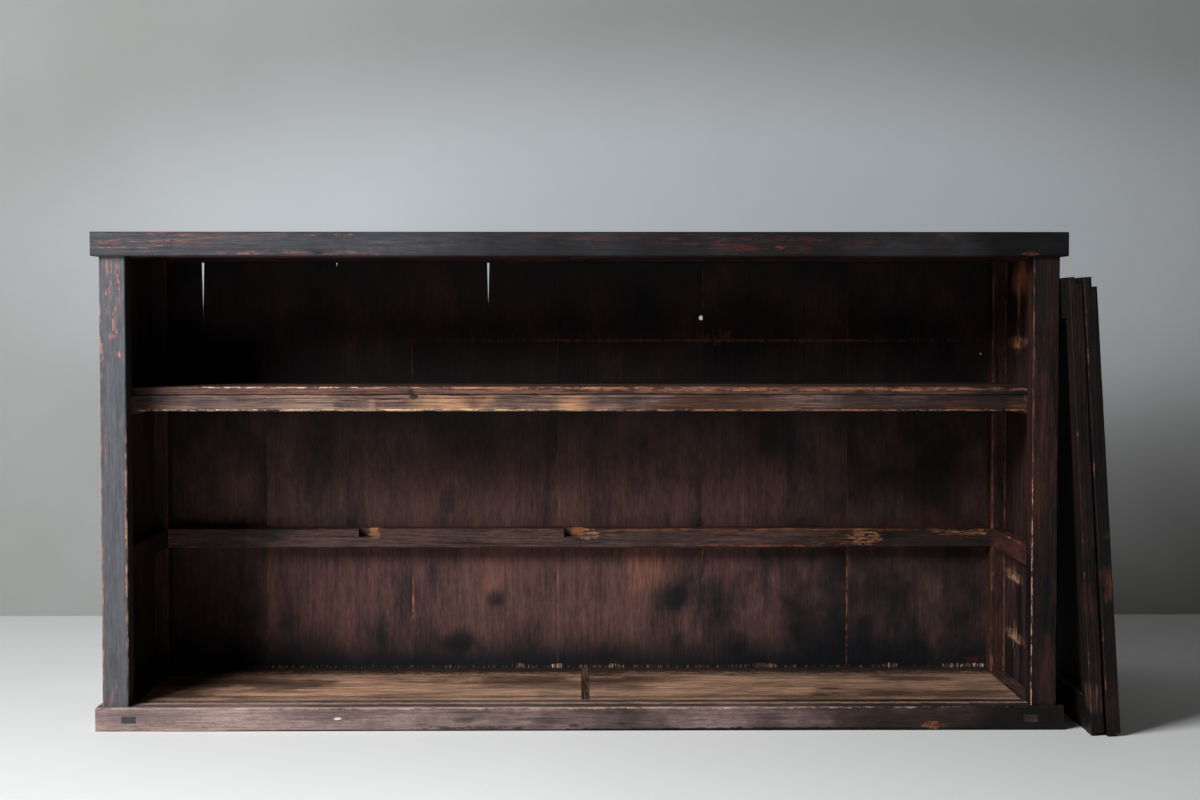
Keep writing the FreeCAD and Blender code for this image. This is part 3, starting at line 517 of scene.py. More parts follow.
sill_marks_and_painted_shade = on_face(1, SILL_FRONT, DEEP, [
    # The next two darken the right half and the right end: partly a darker stain, partly painted shade
    # where the lamp's light falls off to the right.
    ((34, 20, 17), 0.93, (0.68, 0.02), (1.1, 0.6), -0.5, 0.0),
    ((14, 10, 9), 0.95, (1.0, 0.02), (0.5, 0.3), -0.5, 0.0),
    ((74, 68, 72), 0.6, (-0.84, 0.02), (0.14, 0.03), 3.0, 0.4),
    ((188, 162, 148), 0.5, (-0.8, 0.02), (0.13, 0.02), 3.6, 0.5),
    # A near-black line along the sill's foot: painted shadow of the gap under it.
    ((9, 7, 7), 0.97, (0.4, 0.0), (0.66, 0.008), 0.5, 0.0),
    ((70, 62, 66), 0.5, (-0.42, 0.036), (0.3, 0.014), -1.4, 0.3),
    ((68, 60, 62), 0.3, (0.08, 0.016), (0.26, 0.014), -1.4, 0.3),
    ((60, 58, 64), 0.6, (-0.8, 0.03), (0.1, 0.018), 1.6, 0.3),
    ((232, 202, 180), 0.95, (-0.455, 0.0235), (0.0095, 0.0026), 0.9, 0.0),
    ((44, 42, 48), 0.85, (-0.217, 0.0205), (0.026, 0.0065), 0.5, 0.3),
    ((40, 32, 32), 0.8, (-0.2, 0.006), (0.1, 0.004), 2.4, 0.0),
    ((44, 36, 36), 0.8, (-0.01, 0.01), (0.012, 0.004), 1.2, 0.0),
    ((44, 36, 36), 0.7, (0.077, 0.013), (0.009, 0.003), 1.2, 0.0),
    ((170, 104, 72), 0.7, (0.66, 0.01), (0.022, 0.006), 2.0, 0.5),
])
sill_marks_and_painted_shade += on_face(2, SILL_TOP, 0.004, [
    ((66, 48, 42), 0.7, (0.0, SILL_FRONT + 0.026), (DEEP, 0.009), 0.8, 0.2),
    ((196, 156, 128), 0.75, (0.0, SILL_FRONT + 0.047), (DEEP, 0.008), 1.4, 0.2),
    ((56, 40, 35), 0.75, (0.0, SILL_FRONT + 0.068), (DEEP, 0.009), 0.8, 0.2),
])
sill_marks_and_painted_shade += on_face(2, SILL_TOP, 0.003, [
    ((208, 170, 144), 0.6, (-0.2, SILL_FRONT + 0.003), (0.9, 0.007), 1.2, 0.2),
])
worn_piece(
    "front_sill", "sill_wood", 0.0035, 1,
    grain="x", stain=(94, 75, 74), rubbed=(160, 134, 128), bare=(214, 180, 158), share=0.48,
    heart=(0.0, 0.12, -0.05), ring=0.005, contrast=0.8, soot=0.3, soft=0.6, flecks=0.3, ends=True,
    marks=sill_marks_and_painted_shade,
)

# Posts: four square uprights of stained wood. The left front one has kept most of its black
# stain, with salmon loops of grain showing through; the right ones have turned red-brown.
POST_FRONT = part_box("front_left_post")[0].y
LEFT_POST_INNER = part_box("front_left_post")[1].x
RIGHT_POST_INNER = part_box("front_right_post")[0].x

# Salmon wood under the black stain
SALMON = (190, 108, 90)
left_post_marks_and_painted_shade = on_face(1, POST_FRONT, DEEP, [
    # Near-black over the post's inner face and its inner arris: painted shade, as that face turns away
    # from the lamp.
    ((14, 12, 12), 0.95, (LEFT_POST_INNER + 0.0006, 0.5), (0.002, DEEP), 0.3, 0.0),
    (SALMON, 0.9, (-0.878, 0.838), (0.006, 0.055), 3.2, 0.9),
    (SALMON, 0.85, (-0.868, 0.76), (0.006, 0.03), 3.4, 0.9),
    (SALMON, 0.7, (-0.861, 0.84), (0.0035, 0.08), 3.2, 0.9),
    (SALMON, 0.8, (-0.869, 0.738), (0.007, 0.008), 2.0, 0.2),
    (SALMON, 0.7, (-0.862, 0.703), (0.005, 0.007), 2.0, 0.2),
    ((196, 120, 100), 0.6, (-0.892, 0.72), (0.003, 0.05), 3.2, 0.5),
    ((138, 132, 126), 0.3, (-0.866, 0.235), (0.018, 0.08), -1.6, 0.3),
    ((46, 44, 48), 0.5, (-0.876, 0.12), (0.02, 0.07), -1.4, 0.3),
])
left_post_marks_and_painted_shade += on_face(1, POST_FRONT, 0.004, [
    ((206, 140, 104), 0.85, (LEFT_POST_INNER - 0.001, 0.33), (0.0022, 0.2), 4.6, 0.3),
    ((196, 112, 84), 0.7, (-0.896, 0.3), (0.003, 0.3), 4.2, 0.2),
])
# Its stain is painted blue-grey rather than black, partly as a painted sheen of the lamp.
worn_piece(
    "front_left_post", "post_wood", 0.0028, 2,
    grain="z", stain=(76, 77, 81), rubbed=(160, 102, 90), bare=(190, 130, 110), share=-0.15,
    heart=(0.0, 0.02, 0.05), ring=0.011, rings=0.02, lines=0.45, contrast=1.2, soot=0.15,
    smooth=0.36, gloss=0.5, knocked=0.35, flecks=0.15, marks=left_post_marks_and_painted_shade,
)
right_post_marks = on_face(1, POST_FRONT, 0.02, [
    ((14, 12, 12), 0.7, (0.86, 0.8), (0.1, 0.16), -0.6, 0.1),
    ((84, 46, 36), 0.7, (0.866, 0.62), (0.012, 0.14), -2.4, 0.6),
    ((84, 46, 36), 0.6, (0.878, 0.2), (0.012, 0.18), -2.4, 0.6),
])
right_post_marks += on_face(1, POST_FRONT, 0.003, [
    ((196, 148, 126), 0.7, (RIGHT_POST_INNER, 0.2), (0.0022, 0.3), 1.2, 0.2),
    ((120, 72, 54), 0.6, (RIGHT_POST_INNER, 0.7), (0.0025, 0.2), 2.6, 0.4),
])
worn_piece(
    "front_right_post", "post_wood", 0.0028, 3,
    grain="z", stain=(25, 18, 16), rubbed=(62, 34, 26), bare=(112, 66, 50), share=0.35,
    heart=(0.0, -0.02, 0.06), ring=0.007, soot=0.5, knocked=0.4,
    marks=right_post_marks,
)
# A pale line runs down the rear right post where the side board's inner face meets it
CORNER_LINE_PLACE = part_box("right_side_board_rear")[0].x
corner_line_marks = [((156, 108, 82), 0.7, (CORNER_LINE_PLACE, 0.0, 0.5), (0.002, DEEP, DEEP), 2.2, 0.2)]
for side, seed in (("left", 4.0), ("right", 5.0)):
    worn_piece(
        f"rear_{side}_post", "post_wood", 0.002, seed,
        grain="z", stain=(31, 23, 22), rubbed=(76, 46, 36),
        bare=(118, 78, 60) if side == "right" else (80, 46, 32), share=0.35, reach=0.005,
        knocked=0.7, marks=corner_line_marks if side == "right" else (),
    )

# Head rail: the long plank over the front posts, with two deep tracks below for the doors. Its black
# stain is painted blue-grey, partly as a painted sheen, and painted shade darkens it from the left third
# to the right end, where the sheen falls away; red lines of grain show through it.
HEAD_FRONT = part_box("head_rail")[0].y

head_marks_and_painted_shade = on_face(1, HEAD_FRONT, DEEP, [
    ((168, 98, 80), 0.65, (-0.815, 0.909), (0.085, 0.008), 2.6, 0.95),
    ((168, 98, 80), 0.7, (-0.6, 0.926), (0.16, 0.004), 2.6, 0.95),
    ((168, 98, 80), 0.6, (-0.5, 0.893), (0.13, 0.004), 2.6, 0.9),
    ((26, 26, 29), 0.9, (-0.487, 0.893), (0.014, 0.005), 1.0, 0.0),
    # Darker from the left third to the right end: painted shade where the sheen falls away.
    ((22, 20, 21), 0.94, (0.3, 0.91), (1.0, 0.8), -0.4, 0.0),
    ((88, 35, 29), 0.7, (0.34, 0.908), (0.19, 0.016), 2.6, 0.95),
    ((88, 37, 31), 0.6, (0.05, 0.92), (0.25, 0.008), 2.6, 0.95),
    # Near-black at the right end: painted shade, as above.
    ((8, 6, 6), 0.97, (1.05, 0.91), (1.0, 0.8), -0.3, 0.0),
    ((150, 84, 56), 0.7, (0.835, 0.891), (0.014, 0.003), 2.8, 0.6),
    ((150, 84, 56), 0.7, (0.37, 0.903), (0.008, 0.002), 2.8, 0.4),
])
worn_piece(
    "head_rail", "head_wood", 0.0026, 6,
    grain="x", stain=(60, 60, 64), rubbed=(124, 66, 54), bare=(160, 92, 72), share=-0.05,
    heart=(0.0, -0.01, 0.012), ring=0.0065, rings=0.03, lines=0.5, contrast=1.3, smooth=0.38,
    ends=True, knocked=0.3, flecks=0.15, marks=head_marks_and_painted_shade,
)

# Base rails, rear rails and joists: plain rails between the posts. The side base rails' through
# tenons show as dark squares of end grain on the sill's front.
tenon_marks = [((66, 62, 66), 0.9, (0.0, SILL_FRONT, 0.02), (DEEP, 0.03, DEEP), -0.3, 0.0)]
for seed, node in enumerate(("left_base_rail", "right_base_rail"), start=7):
    worn_piece(
        node, "base_wood", 0.0018, seed,
        grain="y", stain=(46, 34, 30), rubbed=(96, 72, 62), bare=(206, 158, 130), share=0.35,
        reach=0.004, knocked=0.9, marks=tenon_marks if seed == 7 else (),
    )
for seed, node in enumerate(("rear_base_rail", "rear_head_rail", "rear_shelf_cleat"), start=9):
    worn_piece(
        node, "base_wood", 0.0018, seed,
        grain="x", stain=(34, 20, 17), rubbed=(74, 34, 25), bare=(130, 76, 52), share=0.45,
        knocked=0.35,
    )
for seed, node in enumerate(("left_head_rail", "right_head_rail", "top_joist"), start=12):
    worn_piece(
        node, "base_wood", 0.0018, seed,
        grain="y", stain=(34, 23, 21), rubbed=(80, 46, 34), bare=(150, 92, 62), share=0.4,
    )
dressed(
    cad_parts["floor_joist"],
    grain="y", stain=(46, 32, 26), rubbed=(112, 82, 66), bare=(176, 138, 110), share=0.45,
    seed=15.0, contrast=1.6,
)

# Floor boards: bare softwood, two boards deep on each side of the joist's tongue. Years of
# sliding goods in and out have polished tan streaks between the dark ones.
FLOOR_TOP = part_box("floor_board_front_left")[1].z

floor_marks_and_painted_shadow = on_face(2, FLOOR_TOP, 0.02, [
    ((66, 44, 34), 0.55, (0.75, 0.0), (0.75, 0.5), -1.0, 0.3),
    ((222, 158, 104), 0.95, (-0.455, -0.02), (0.06, 0.03), -0.8, 0.3),
    ((44, 30, 25), 0.85, (0.49, -0.03), (0.03, 0.014), 1.0, 0.0),
    ((58, 40, 32), 0.75, (0.1, -0.115), (DEEP, 0.016), 2.0, 0.4),
    ((50, 34, 28), 0.8, (0.04, 0.05), (0.28, 0.12), -1.2, 0.4),
    ((52, 36, 30), 0.9, (0.7, -0.1), (0.4, 0.06), -1.8, 0.4),
    ((30, 22, 19), 0.97, (0.0, 0.33), (DEEP, 0.25), 0.35, 0.0),
    # Darker at the left end: painted shadow of the left post and side.
    ((54, 38, 30), 0.95, (-0.75, 0.03), (0.3, 0.13), -1.6, 0.3),
    ((56, 40, 32), 0.9, (-0.3, -0.085), (0.22, 0.04), -1.8, 0.4),
    ((58, 42, 34), 0.85, (-0.12, 0.09), (0.3, 0.05), -1.8, 0.3),
    ((58, 42, 34), 0.85, (0.72, 0.07), (0.26, 0.05), -1.8, 0.3),
    ((200, 168, 138), 0.55, (-0.2, -0.06), (0.3, 0.03), -1.8, 0.5),
    ((196, 160, 130), 0.5, (0.62, 0.02), (0.2, 0.04), -1.8, 0.5),
])
seed = 16.0
for side in ("left", "right"):
    for place in ("front", "rear"):
        dressed(
            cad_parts[f"floor_board_{place}_{side}"],
            grain="x", stain=(74, 50, 39), rubbed=(198, 154, 126), bare=(214, 174, 142), share=0.56,
            seed=seed, heart=(0.0, 0.3, -0.12), ring=0.012, rings=0.2, contrast=1.7, soft=0.4,
            soot=0.0, smooth=0.5, flecks=0.2, marks=floor_marks_and_painted_shadow,
        )
        seed += 1.0

# Side boards: two upright boards on each side, lapped where they meet and held in grooves all
# round. The right ones carry star-shaped scrapes where shelf pegs and goods have struck them.
INNER_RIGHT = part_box("right_side_board_front")[0].x
# How far an inner face's marks go into its boards, so that none shows outside
SKIN = 0.005
scrapes = [
    ((182, 112, 74), 0.9, (0.04, 0.84), (0.09, 0.05), -1.0, 0.4),
    ((206, 136, 92), 0.85, (0.05, 0.838), (0.016, 0.05), 3.6, 0.6),
    ((206, 136, 92), 0.7, (0.04, 0.726), (0.09, 0.008), 3.6, 0.8),
]
# Each is a little different: its height, how far back it sits and how long it is
for height, back, long, tint in (
    (0.722, 0.06, 0.08, (196, 130, 88)),
    (0.252, 0.08, 0.075, (206, 156, 122)),
    (0.132, 0.065, 0.085, (206, 156, 122)),
):
    for strength, drop, reach, rise, ragged, hairs in (
        (0.6, 0.0, long, 0.01, 4.6, 0.8),
        (0.85, 0.003, 0.3 * long, 0.006, 2.4, 0.4),
        (0.7, 0.006, 0.7 * long, 0.0016, 3.6, 0.3),
        (0.6, 0.0, 0.016, 0.026, 4.4, 0.97),
    ):
        scrapes.append((tint, strength, (back, height - drop), (reach, rise), ragged, hairs))
side_marks = on_face(0, INNER_RIGHT, SKIN, scrapes)
seed = 20.0
for side in ("left", "right"):
    for place in ("front", "rear"):
        dressed(
            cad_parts[f"{side}_side_board_{place}"],
            grain="z", stain=(29, 22, 23), rubbed=(70, 46, 41), bare=(170, 120, 92), share=0.3,
            seed=seed, ring=0.009, contrast=1.2, soot=0.45, smooth=0.45,
            marks=side_marks if side == "right" else (),
        )
        seed += 1.0

# Ledgers of the lost middle shelf: a rear rail with two notches for the shelf's bearers, and one
# on each side. The stain has flaked off the rear one in orange scabs towards the right.
LEDGER_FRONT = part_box("rear_mid_ledger")[0].y

ledger_marks = on_face(1, LEDGER_FRONT, 0.02, [
    ((26, 19, 18), 0.88, (0.75, 0.32), (0.85, 0.3), -0.6, 0.1),
    ((206, 144, 96), 0.9, (0.584, 0.322), (0.026, 0.015), 2.6, 0.7),
    ((150, 90, 58), 0.7, (0.55, 0.318), (0.06, 0.012), 5.4, 0.9),
    ((184, 118, 76), 0.8, (0.79, 0.33), (0.05, 0.008), 5.4, 0.8),
    ((150, 90, 58), 0.75, (0.36, 0.303), (0.12, 0.004), 4.6, 0.7),
    ((150, 90, 58), 0.7, (0.36, 0.338), (0.4, 0.0025), 4.6, 0.6),
    ((140, 84, 56), 0.6, (0.2, 0.3), (0.5, 0.0025), 4.6, 0.6),
    ((196, 146, 112), 0.75, (0.012, 0.33), (0.022, 0.012), 4.4, 0.6),
])
# Bare wood in the two notches
ledger_marks += on_face(1, LEDGER_FRONT + 0.02, 0.03, [
    ((186, 134, 92), 0.95, (-0.424, 0.333), (0.017, 0.017), 0.8, 0.2),
    ((176, 112, 74), 0.95, (-0.004, 0.333), (0.02, 0.017), 0.8, 0.2),
])
worn_piece(
    "rear_mid_ledger", "inner_rail_wood", 0.002, 24,
    grain="x", stain=(50, 38, 37), rubbed=(100, 73, 66), bare=(170, 112, 80), share=0.42,
    contrast=1.2, soot=0.35, marks=ledger_marks,
)
for seed, node in enumerate(("left_mid_ledger", "right_mid_ledger"), start=25):
    worn_piece(
        node, "inner_rail_wood", 0.002, seed,
        grain="y", stain=(36, 24, 23) if seed == 26 else (19, 15, 15),
        rubbed=(88, 50, 40) if seed == 26 else (34, 24, 22),
        bare=(170, 110, 80) if seed == 26 else (110, 64, 44), share=0.45,
    )

# Upper shelf: two boards lying on a stout front rail and on cleats. Hands have worn the rail's
# face and the board's edge to tan, and splinters have gone from the rail's lower arris.
SHELF_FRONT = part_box("shelf_front_rail")[0].y

rail_marks_and_painted_shade = on_face(1, SHELF_FRONT, 0.02, [
    ((26, 20, 20), 0.95, (-0.9, 0.61), (0.27, 0.3), -0.4, 0.0),
    ((74, 62, 62), 0.6, (-0.66, 0.61), (0.13, 0.05), -1.2, 0.3),
    ((150, 122, 108), 0.75, (-0.47, 0.608), (0.18, 0.02), -1.6, 0.4),
    ((190, 142, 106), 0.9, (-0.27, 0.608), (0.2, 0.03), -1.4, 0.3),
    ((120, 86, 70), 0.8, (-0.1, 0.608), (0.12, 0.04), -1.6, 0.4),
    ((212, 152, 104), 0.85, (-0.016, 0.604), (0.055, 0.034), -0.4, 0.25),
    ((44, 32, 30), 0.9, (0.1, 0.612), (0.09, 0.06), -1.0, 0.2),
    # The next two darken the right half and the right end: painted shade where the lamp's light falls off
    # to the right.
    ((36, 23, 20), 0.93, (0.6, 0.612), (0.85, 0.5), -0.9, 0.1),
    ((9, 7, 7), 0.97, (1.0, 0.612), (0.62, 0.5), -0.4, 0.0),
    ((104, 62, 42), 0.6, (0.35, 0.606), (0.5, 0.02), -1.8, 0.7),
    ((60, 48, 47), 0.7, (-0.46, 0.606), (0.012, 0.006), 1.2, 0.0),
    ((30, 24, 24), 0.9, (-0.318, 0.622), (0.008, 0.006), 1.0, 0.0),
    ((26, 19, 18), 0.75, (-0.3, 0.6195), (0.5, 0.0012), 2.0, 0.1),
    ((34, 24, 22), 0.6, (-0.1, 0.611), (0.6, 0.0009), 2.6, 0.1),
    ((232, 188, 150), 0.85, (-0.35, 0.5965), (0.46, 0.002), 4.4, 0.1),
    ((190, 128, 86), 0.8, (0.4, 0.596), (0.5, 0.0018), 4.6, 0.1),
])
worn_piece(
    "shelf_front_rail", "shelf_wood", 0.006, 27,
    grain="x", stain=(56, 42, 39), rubbed=(122, 94, 82), bare=(190, 142, 112), share=0.48,
    ring=0.005, contrast=1.7, gloss=0.25, reach=0.0025, knocked=0.35, marks=rail_marks_and_painted_shade,
)
board_marks_and_painted_shade = [
    ((26, 21, 21), 0.93, (-0.9, SHELF_FRONT, 0.63), (0.2, 0.3, 0.3), -0.4, 0.0),
    # Near-black at the right end: painted shade where the lamp's light falls off to the right.
    ((16, 11, 10), 0.95, (1.0, SHELF_FRONT, 0.63), (0.6, 0.3, 0.3), -0.5, 0.1),
    ((30, 26, 26), 0.9, (-0.323, SHELF_FRONT, 0.632), (0.009, 0.01, 0.007), 1.0, 0.0),
    ((30, 26, 26), 0.9, (0.534, SHELF_FRONT, 0.633), (0.013, 0.01, 0.006), 1.0, 0.0),
    ((236, 204, 182), 0.85, (-0.56, SHELF_FRONT, 0.641), (0.16, 0.004, 0.002), 3.6, 0.2),
    ((196, 140, 106), 0.7, (-0.2, SHELF_FRONT, 0.64), (0.3, 0.006, 0.0022), 3.6, 0.3),
    ((172, 108, 76), 0.7, (0.4, SHELF_FRONT, 0.6365), (0.5, 0.006, 0.003), 3.4, 0.4),
    ((16, 12, 12), 0.92, (0.0, SHELF_FRONT, 0.6262), (DEEP, 0.02, 0.0016), 0.8, 0.0),
    ((26, 21, 20), 0.75, (0.2, SHELF_FRONT + 0.06, 0.642), (1.2, 0.04, 0.006), 1.6, 0.5),
]
worn_piece(
    "shelf_board_front", "shelf_wood", 0.003, 28,
    grain="x", stain=(48, 36, 34), rubbed=(112, 78, 64), bare=(180, 132, 106), share=0.42,
    contrast=1.3, reach=0.0025, knocked=0.4, marks=board_marks_and_painted_shade,
)
dressed(
    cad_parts["shelf_board_rear"],
    grain="x", stain=(36, 28, 27), rubbed=(86, 64, 52), bare=(150, 108, 80), share=0.4, seed=29.0,
)
for seed, node in enumerate(("left_shelf_cleat", "right_shelf_cleat"), start=30):
    worn_piece(
        node, "inner_rail_wood", 0.002, seed,
        grain="y", stain=(36, 26, 25), rubbed=(90, 60, 50), bare=(180, 124, 96), share=0.45,
    )

# Top boards: two wide boards that close the case, in the head rail's rabbet and over the rear
# rail. They keep their dark stain, dulled by dust and by things set down on them.
for seed, node in enumerate(("top_board_front", "top_board_rear"), start=32):
    dressed(
        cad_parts[node],
        grain="x", stain=(50, 44, 45), rubbed=(98, 72, 64), bare=(170, 122, 96), share=0.35,
        seed=float(seed), heart=(0.0, 0.05, -0.09), ring=0.007, rings=0.16, ends=True, smooth=0.45,
    )

# Back boards: six upright boards nailed on from behind. Stain has worn off them in upright
# streaks, scrapes mark where a shelf once met them, and damp has blackened their feet.
BACK_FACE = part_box("back_board_1")[0].y

back_rows_and_painted_shade = [
    # Near-black over the upper compartment: partly soot, partly painted shade under the head rail.
    ((13, 14, 16), 0.98, (0.0, 1.0), (DEEP, 0.6), -0.12, 0.0),
    # Darker at the top of the middle compartment: painted shade under the shelf.
    ((22, 20, 21), 0.88, (0.0, 0.63), (DEEP, 0.27), -0.3, 0.0),
    ((19, 14, 14), 0.9, (1.0, 0.3), (0.85, 0.9), -0.5, 0.0),
    # Darker at the left: painted shadow of the case's left side.
    ((20, 15, 15), 0.85, (-0.9, 0.3), (0.34, 0.9), -0.4, 0.0),
    ((130, 74, 44), 0.95, (0.27, 0.727), (0.48, 0.0024), 2.0, 0.2),
    ((130, 74, 44), 0.8, (0.29, 0.735), (0.025, 0.016), 3.0, 0.85),
    ((96, 52, 34), 0.4, (-0.1, 0.732), (0.3, 0.01), 3.6, 0.95),
    ((16, 18, 22), 0.95, (0.2, 0.19), (0.075, 0.055), -0.8, 0.0),
    ((18, 20, 24), 0.95, (-0.179, 0.19), (0.024, 0.024), -0.6, 0.0),
    ((20, 21, 25), 0.9, (-0.25, 0.1), (0.06, 0.036), -0.9, 0.0),
    ((15, 16, 20), 0.97, (0.1, -0.02), (DEEP, 0.21), -0.3, 0.0),
    ((16, 16, 19), 0.93, (0.65, 0.0), (0.62, 0.34), -0.55, 0.0),
    ((15, 15, 18), 0.93, (0.55, -0.02), (0.45, 0.3), -0.35, 0.0),
    ((14, 15, 19), 0.95, (0.3, 0.05), (DEEP, 0.08), -0.15, 0.0),
    ((150, 98, 78), 0.45, (-0.19, 0.26), (0.03, 0.07), -1.2, 0.6),
    ((164, 108, 84), 0.5, (0.14, 0.26), (0.05, 0.07), -1.2, 0.6),
    ((136, 84, 64), 0.35, (0.12, 0.38), (0.06, 0.05), -1.2, 0.6),
    ((100, 54, 42), 0.5, (0.7, 0.33), (0.24, 0.04), -1.6, 0.5),
    ((104, 42, 31), 0.6, (0.18, 0.058), (0.1, 0.01), -1.8, 0.7),
    ((104, 42, 31), 0.6, (0.82, 0.062), (0.1, 0.012), -1.8, 0.7),
    ((176, 126, 100), 0.36, (-0.1, 0.0465), (0.75, 0.003), 5.0, 0.97),
]
# The boards' seams have rubbed to copper in places, above and below the shelf
SEAM_RUB = 0.0012
for board, tint, strength, middle, half in (
    (3, (186, 116, 80), 0.75, 0.19, 0.035),
    (3, (118, 62, 38), 0.7, 0.685, 0.05),
    (4, (112, 96, 90), 0.5, 0.2, 0.14),
    (4, (104, 54, 34), 0.5, 0.74, 0.1),
    (5, (124, 70, 50), 0.4, 0.42, 0.1),
    (5, (130, 68, 42), 0.6, 0.84, 0.05),
    (5, (130, 68, 42), 0.6, 0.73, 0.016),
    (6, (176, 108, 72), 0.7, 0.2, 0.13),
    (6, (110, 58, 36), 0.45, 0.74, 0.12),
):
    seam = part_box(f"back_board_{board}")[0].x
    back_rows_and_painted_shade.append((tint, strength, (seam, middle), (SEAM_RUB, half), 3.4, 0.0))
# Crumbs of bare wood at the boards' feet: where each heap is, and half its length
CRUMBS = {-0.128: 0.018, -0.046: 0.014, 0.07: 0.01, 0.376: 0.024, 0.646: 0.014, 0.8: 0.04}
for middle, half in CRUMBS.items():
    back_rows_and_painted_shade.append(((216, 166, 130), 0.9, (middle, 0.048), (half, 0.0045), 4.4, 0.9))
back_marks_and_painted_shade = on_face(1, BACK_FACE, SKIN, back_rows_and_painted_shade)


# A little less than the gap between two boards
SWELLING = 0.00018
# A corner nearer than this to a board's edge is on it
EDGE_NEAR = 1e-5


def swollen(node):
    """A copy of a board that has swollen against its left neighbour, so that no light comes through."""
    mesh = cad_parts[node].data.copy()
    mesh.name = f"{node}_swollen"
    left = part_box(node)[0].x
    for corner in mesh.vertices:
        if corner.co.x < left + EDGE_NEAR:
            corner.co.x -= SWELLING
    return stand_in(mesh, node, "case")


for index in range(1, 7):
    node = f"back_board_{index}"
    low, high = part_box(node)
    near = []
    for mark in back_marks_and_painted_shade:
        middle = mark[2][0]
        half = mark[3][0]
        if middle - half < high.x and middle + half > low.x:
            near.append(mark)
    dressed(
        swollen(node),
        grain="z", stain=(43, 33, 35), rubbed=(112, 76, 69), bare=(170, 106, 74), share=0.5,
        seed=33.0 + index, heart=(0.0, 0.1, 0.35), ring=0.008, rings=0.03, contrast=0.45, soft=0.5,
        soot=0.35, smooth=0.45, gloss=0.25, flecks=0.35, reach=0.0012, knocked=0.5, marks=near,
    )

# Nails that hold the back boards: square, hand forged, with low uneven heads of dark iron. One
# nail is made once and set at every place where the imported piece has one.
iron, tree = new_material("forged_iron")
place = tree.add("ShaderNodeTexCoord").outputs["Object"]
pits = tree.noise(place, (700.0, 700.0, 700.0), 4.0, 0.65)
rust = tree.between(tree.noise(place, (160.0, 160.0, 160.0), 3.0), 0.45, 0.65)
colour = tree.blend(rust, paint(44, 42, 43), paint(92, 56, 38))
sockets = {
    "Base Color": colour,
    "Roughness": tree.line(rust, 0.3, 0.5),
    "Metallic": tree.math("SUBTRACT", 0.9, rust),
}
surface = surfaced(tree, sockets, pits, 0.5, 0.0005)
tree.add("ShaderNodeOutputMaterial", {"Surface": surface})


def forged_nails():
    """A tree that sets a nail with a hammered head at each point, its point towards -Y."""
    group, tree, given, made = new_effect(
        "forged_nails",
        {
            "Places": "NodeSocketGeometry",
            **floats("Shank Width", "Shank Length", "Head Width", "Head Thickness", "Hammering"),
            "Seed": "NodeSocketInt",
            "Iron": "NodeSocketMaterial",
        },
        {"Nails": "NodeSocketGeometry"},
        "GeometryNodeTree",
    )
    thick = given["Head Thickness"]

    def box(width, length, out, cuts):
        """A square box. Out is the share of its length by which its middle is off the board."""
        sockets = {"Size": tree.joined(width, length, width), **cuts}
        mesh = tree.add("GeometryNodeMeshCube", sockets).outputs["Mesh"]
        middle = tree.joined(0.0, tree.times(length, out), 0.0)
        return tree.add("GeometryNodeTransform", {"Geometry": mesh, "Translation": middle}).outputs[0]

    shank = box(given["Shank Width"], given["Shank Length"], -0.5, {})
    head = box(given["Head Width"], thick, 0.5, {"Vertices X": 4, "Vertices Y": 2, "Vertices Z": 4})
    # The head is highest in its middle and its corners are beaten down
    position = tree.add("GeometryNodeInputPosition").outputs[0]
    x, y, z = tree.parts(position)
    out = tree.vector("LENGTH", tree.joined(x, 0.0, z))
    low = tree.math("DIVIDE", out, given["Head Width"])
    low = tree.times(tree.times(low, thick), -0.9)
    outer = tree.math("GREATER_THAN", y, tree.times(thick, 0.5))
    sockets = {"Geometry": head, "Selection": outer, "Offset": tree.joined(0.0, low, 0.0)}
    head = tree.add("GeometryNodeSetPosition", sockets).outputs[0]
    nail = tree.add("GeometryNodeJoinGeometry")
    for part in (shank, head):
        group.links.new(part, nail.inputs[0])
    sockets = {"Points": given["Places"], "Instance": nail.outputs[0]}
    nails = tree.add("GeometryNodeInstanceOnPoints", sockets).outputs[0]
    nails = tree.add("GeometryNodeRealizeInstances", {"Geometry": nails}).outputs[0]
    # Each head has its own hammer marks, sideways only, so that it stays on its board
    position = tree.add("GeometryNodeInputPosition").outputs[0]
    sockets = {"Vector": position, "W": given["Seed"], "Scale": 260.0, "Detail": 1.0}
    beaten = tree.add("ShaderNodeTexNoise", sockets, noise_dimensions="4D").outputs["Color"]
    beaten = tree.vector("SUBTRACT", beaten, (0.5, 0.5, 0.5))
    beaten = tree.vector("MULTIPLY", beaten, (1.0, 0.0, 1.0))
    offset = tree.scaled(beaten, given["Hammering"])
    nails = tree.add("GeometryNodeSetPosition", {"Geometry": nails, "Offset": offset}).outputs[0]
    nails = tree.add("GeometryNodeSetMaterial", {"Geometry": nails, "Material": given["Iron"]}).outputs[0]
    tree.feed(made["Nails"], nails)
    return group


def nail_places():
    """Where each packed nail leaves the back of its board."""
    shape = bmesh.new()
    shape.from_mesh(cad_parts["back_board_nails"].data)
    bmesh.ops.remove_doubles(shape, verts=shape.verts, dist=WELD)
    left = set(shape.verts)
    places = []
    while left:
        grown = [left.pop()]
        for corner in grown:
            for edge in corner.link_edges:
                other = edge.other_vert(corner)
                if other in left:
                    left.remove(other)
                    grown.append(other)
        sums = [sum(corner.co[axis] for corner in grown) / len(grown) for axis in (0, 2)]
        places.append((sums[0], BACK_OUTER, sums[1]))
    shape.free()
    return sorted(places)


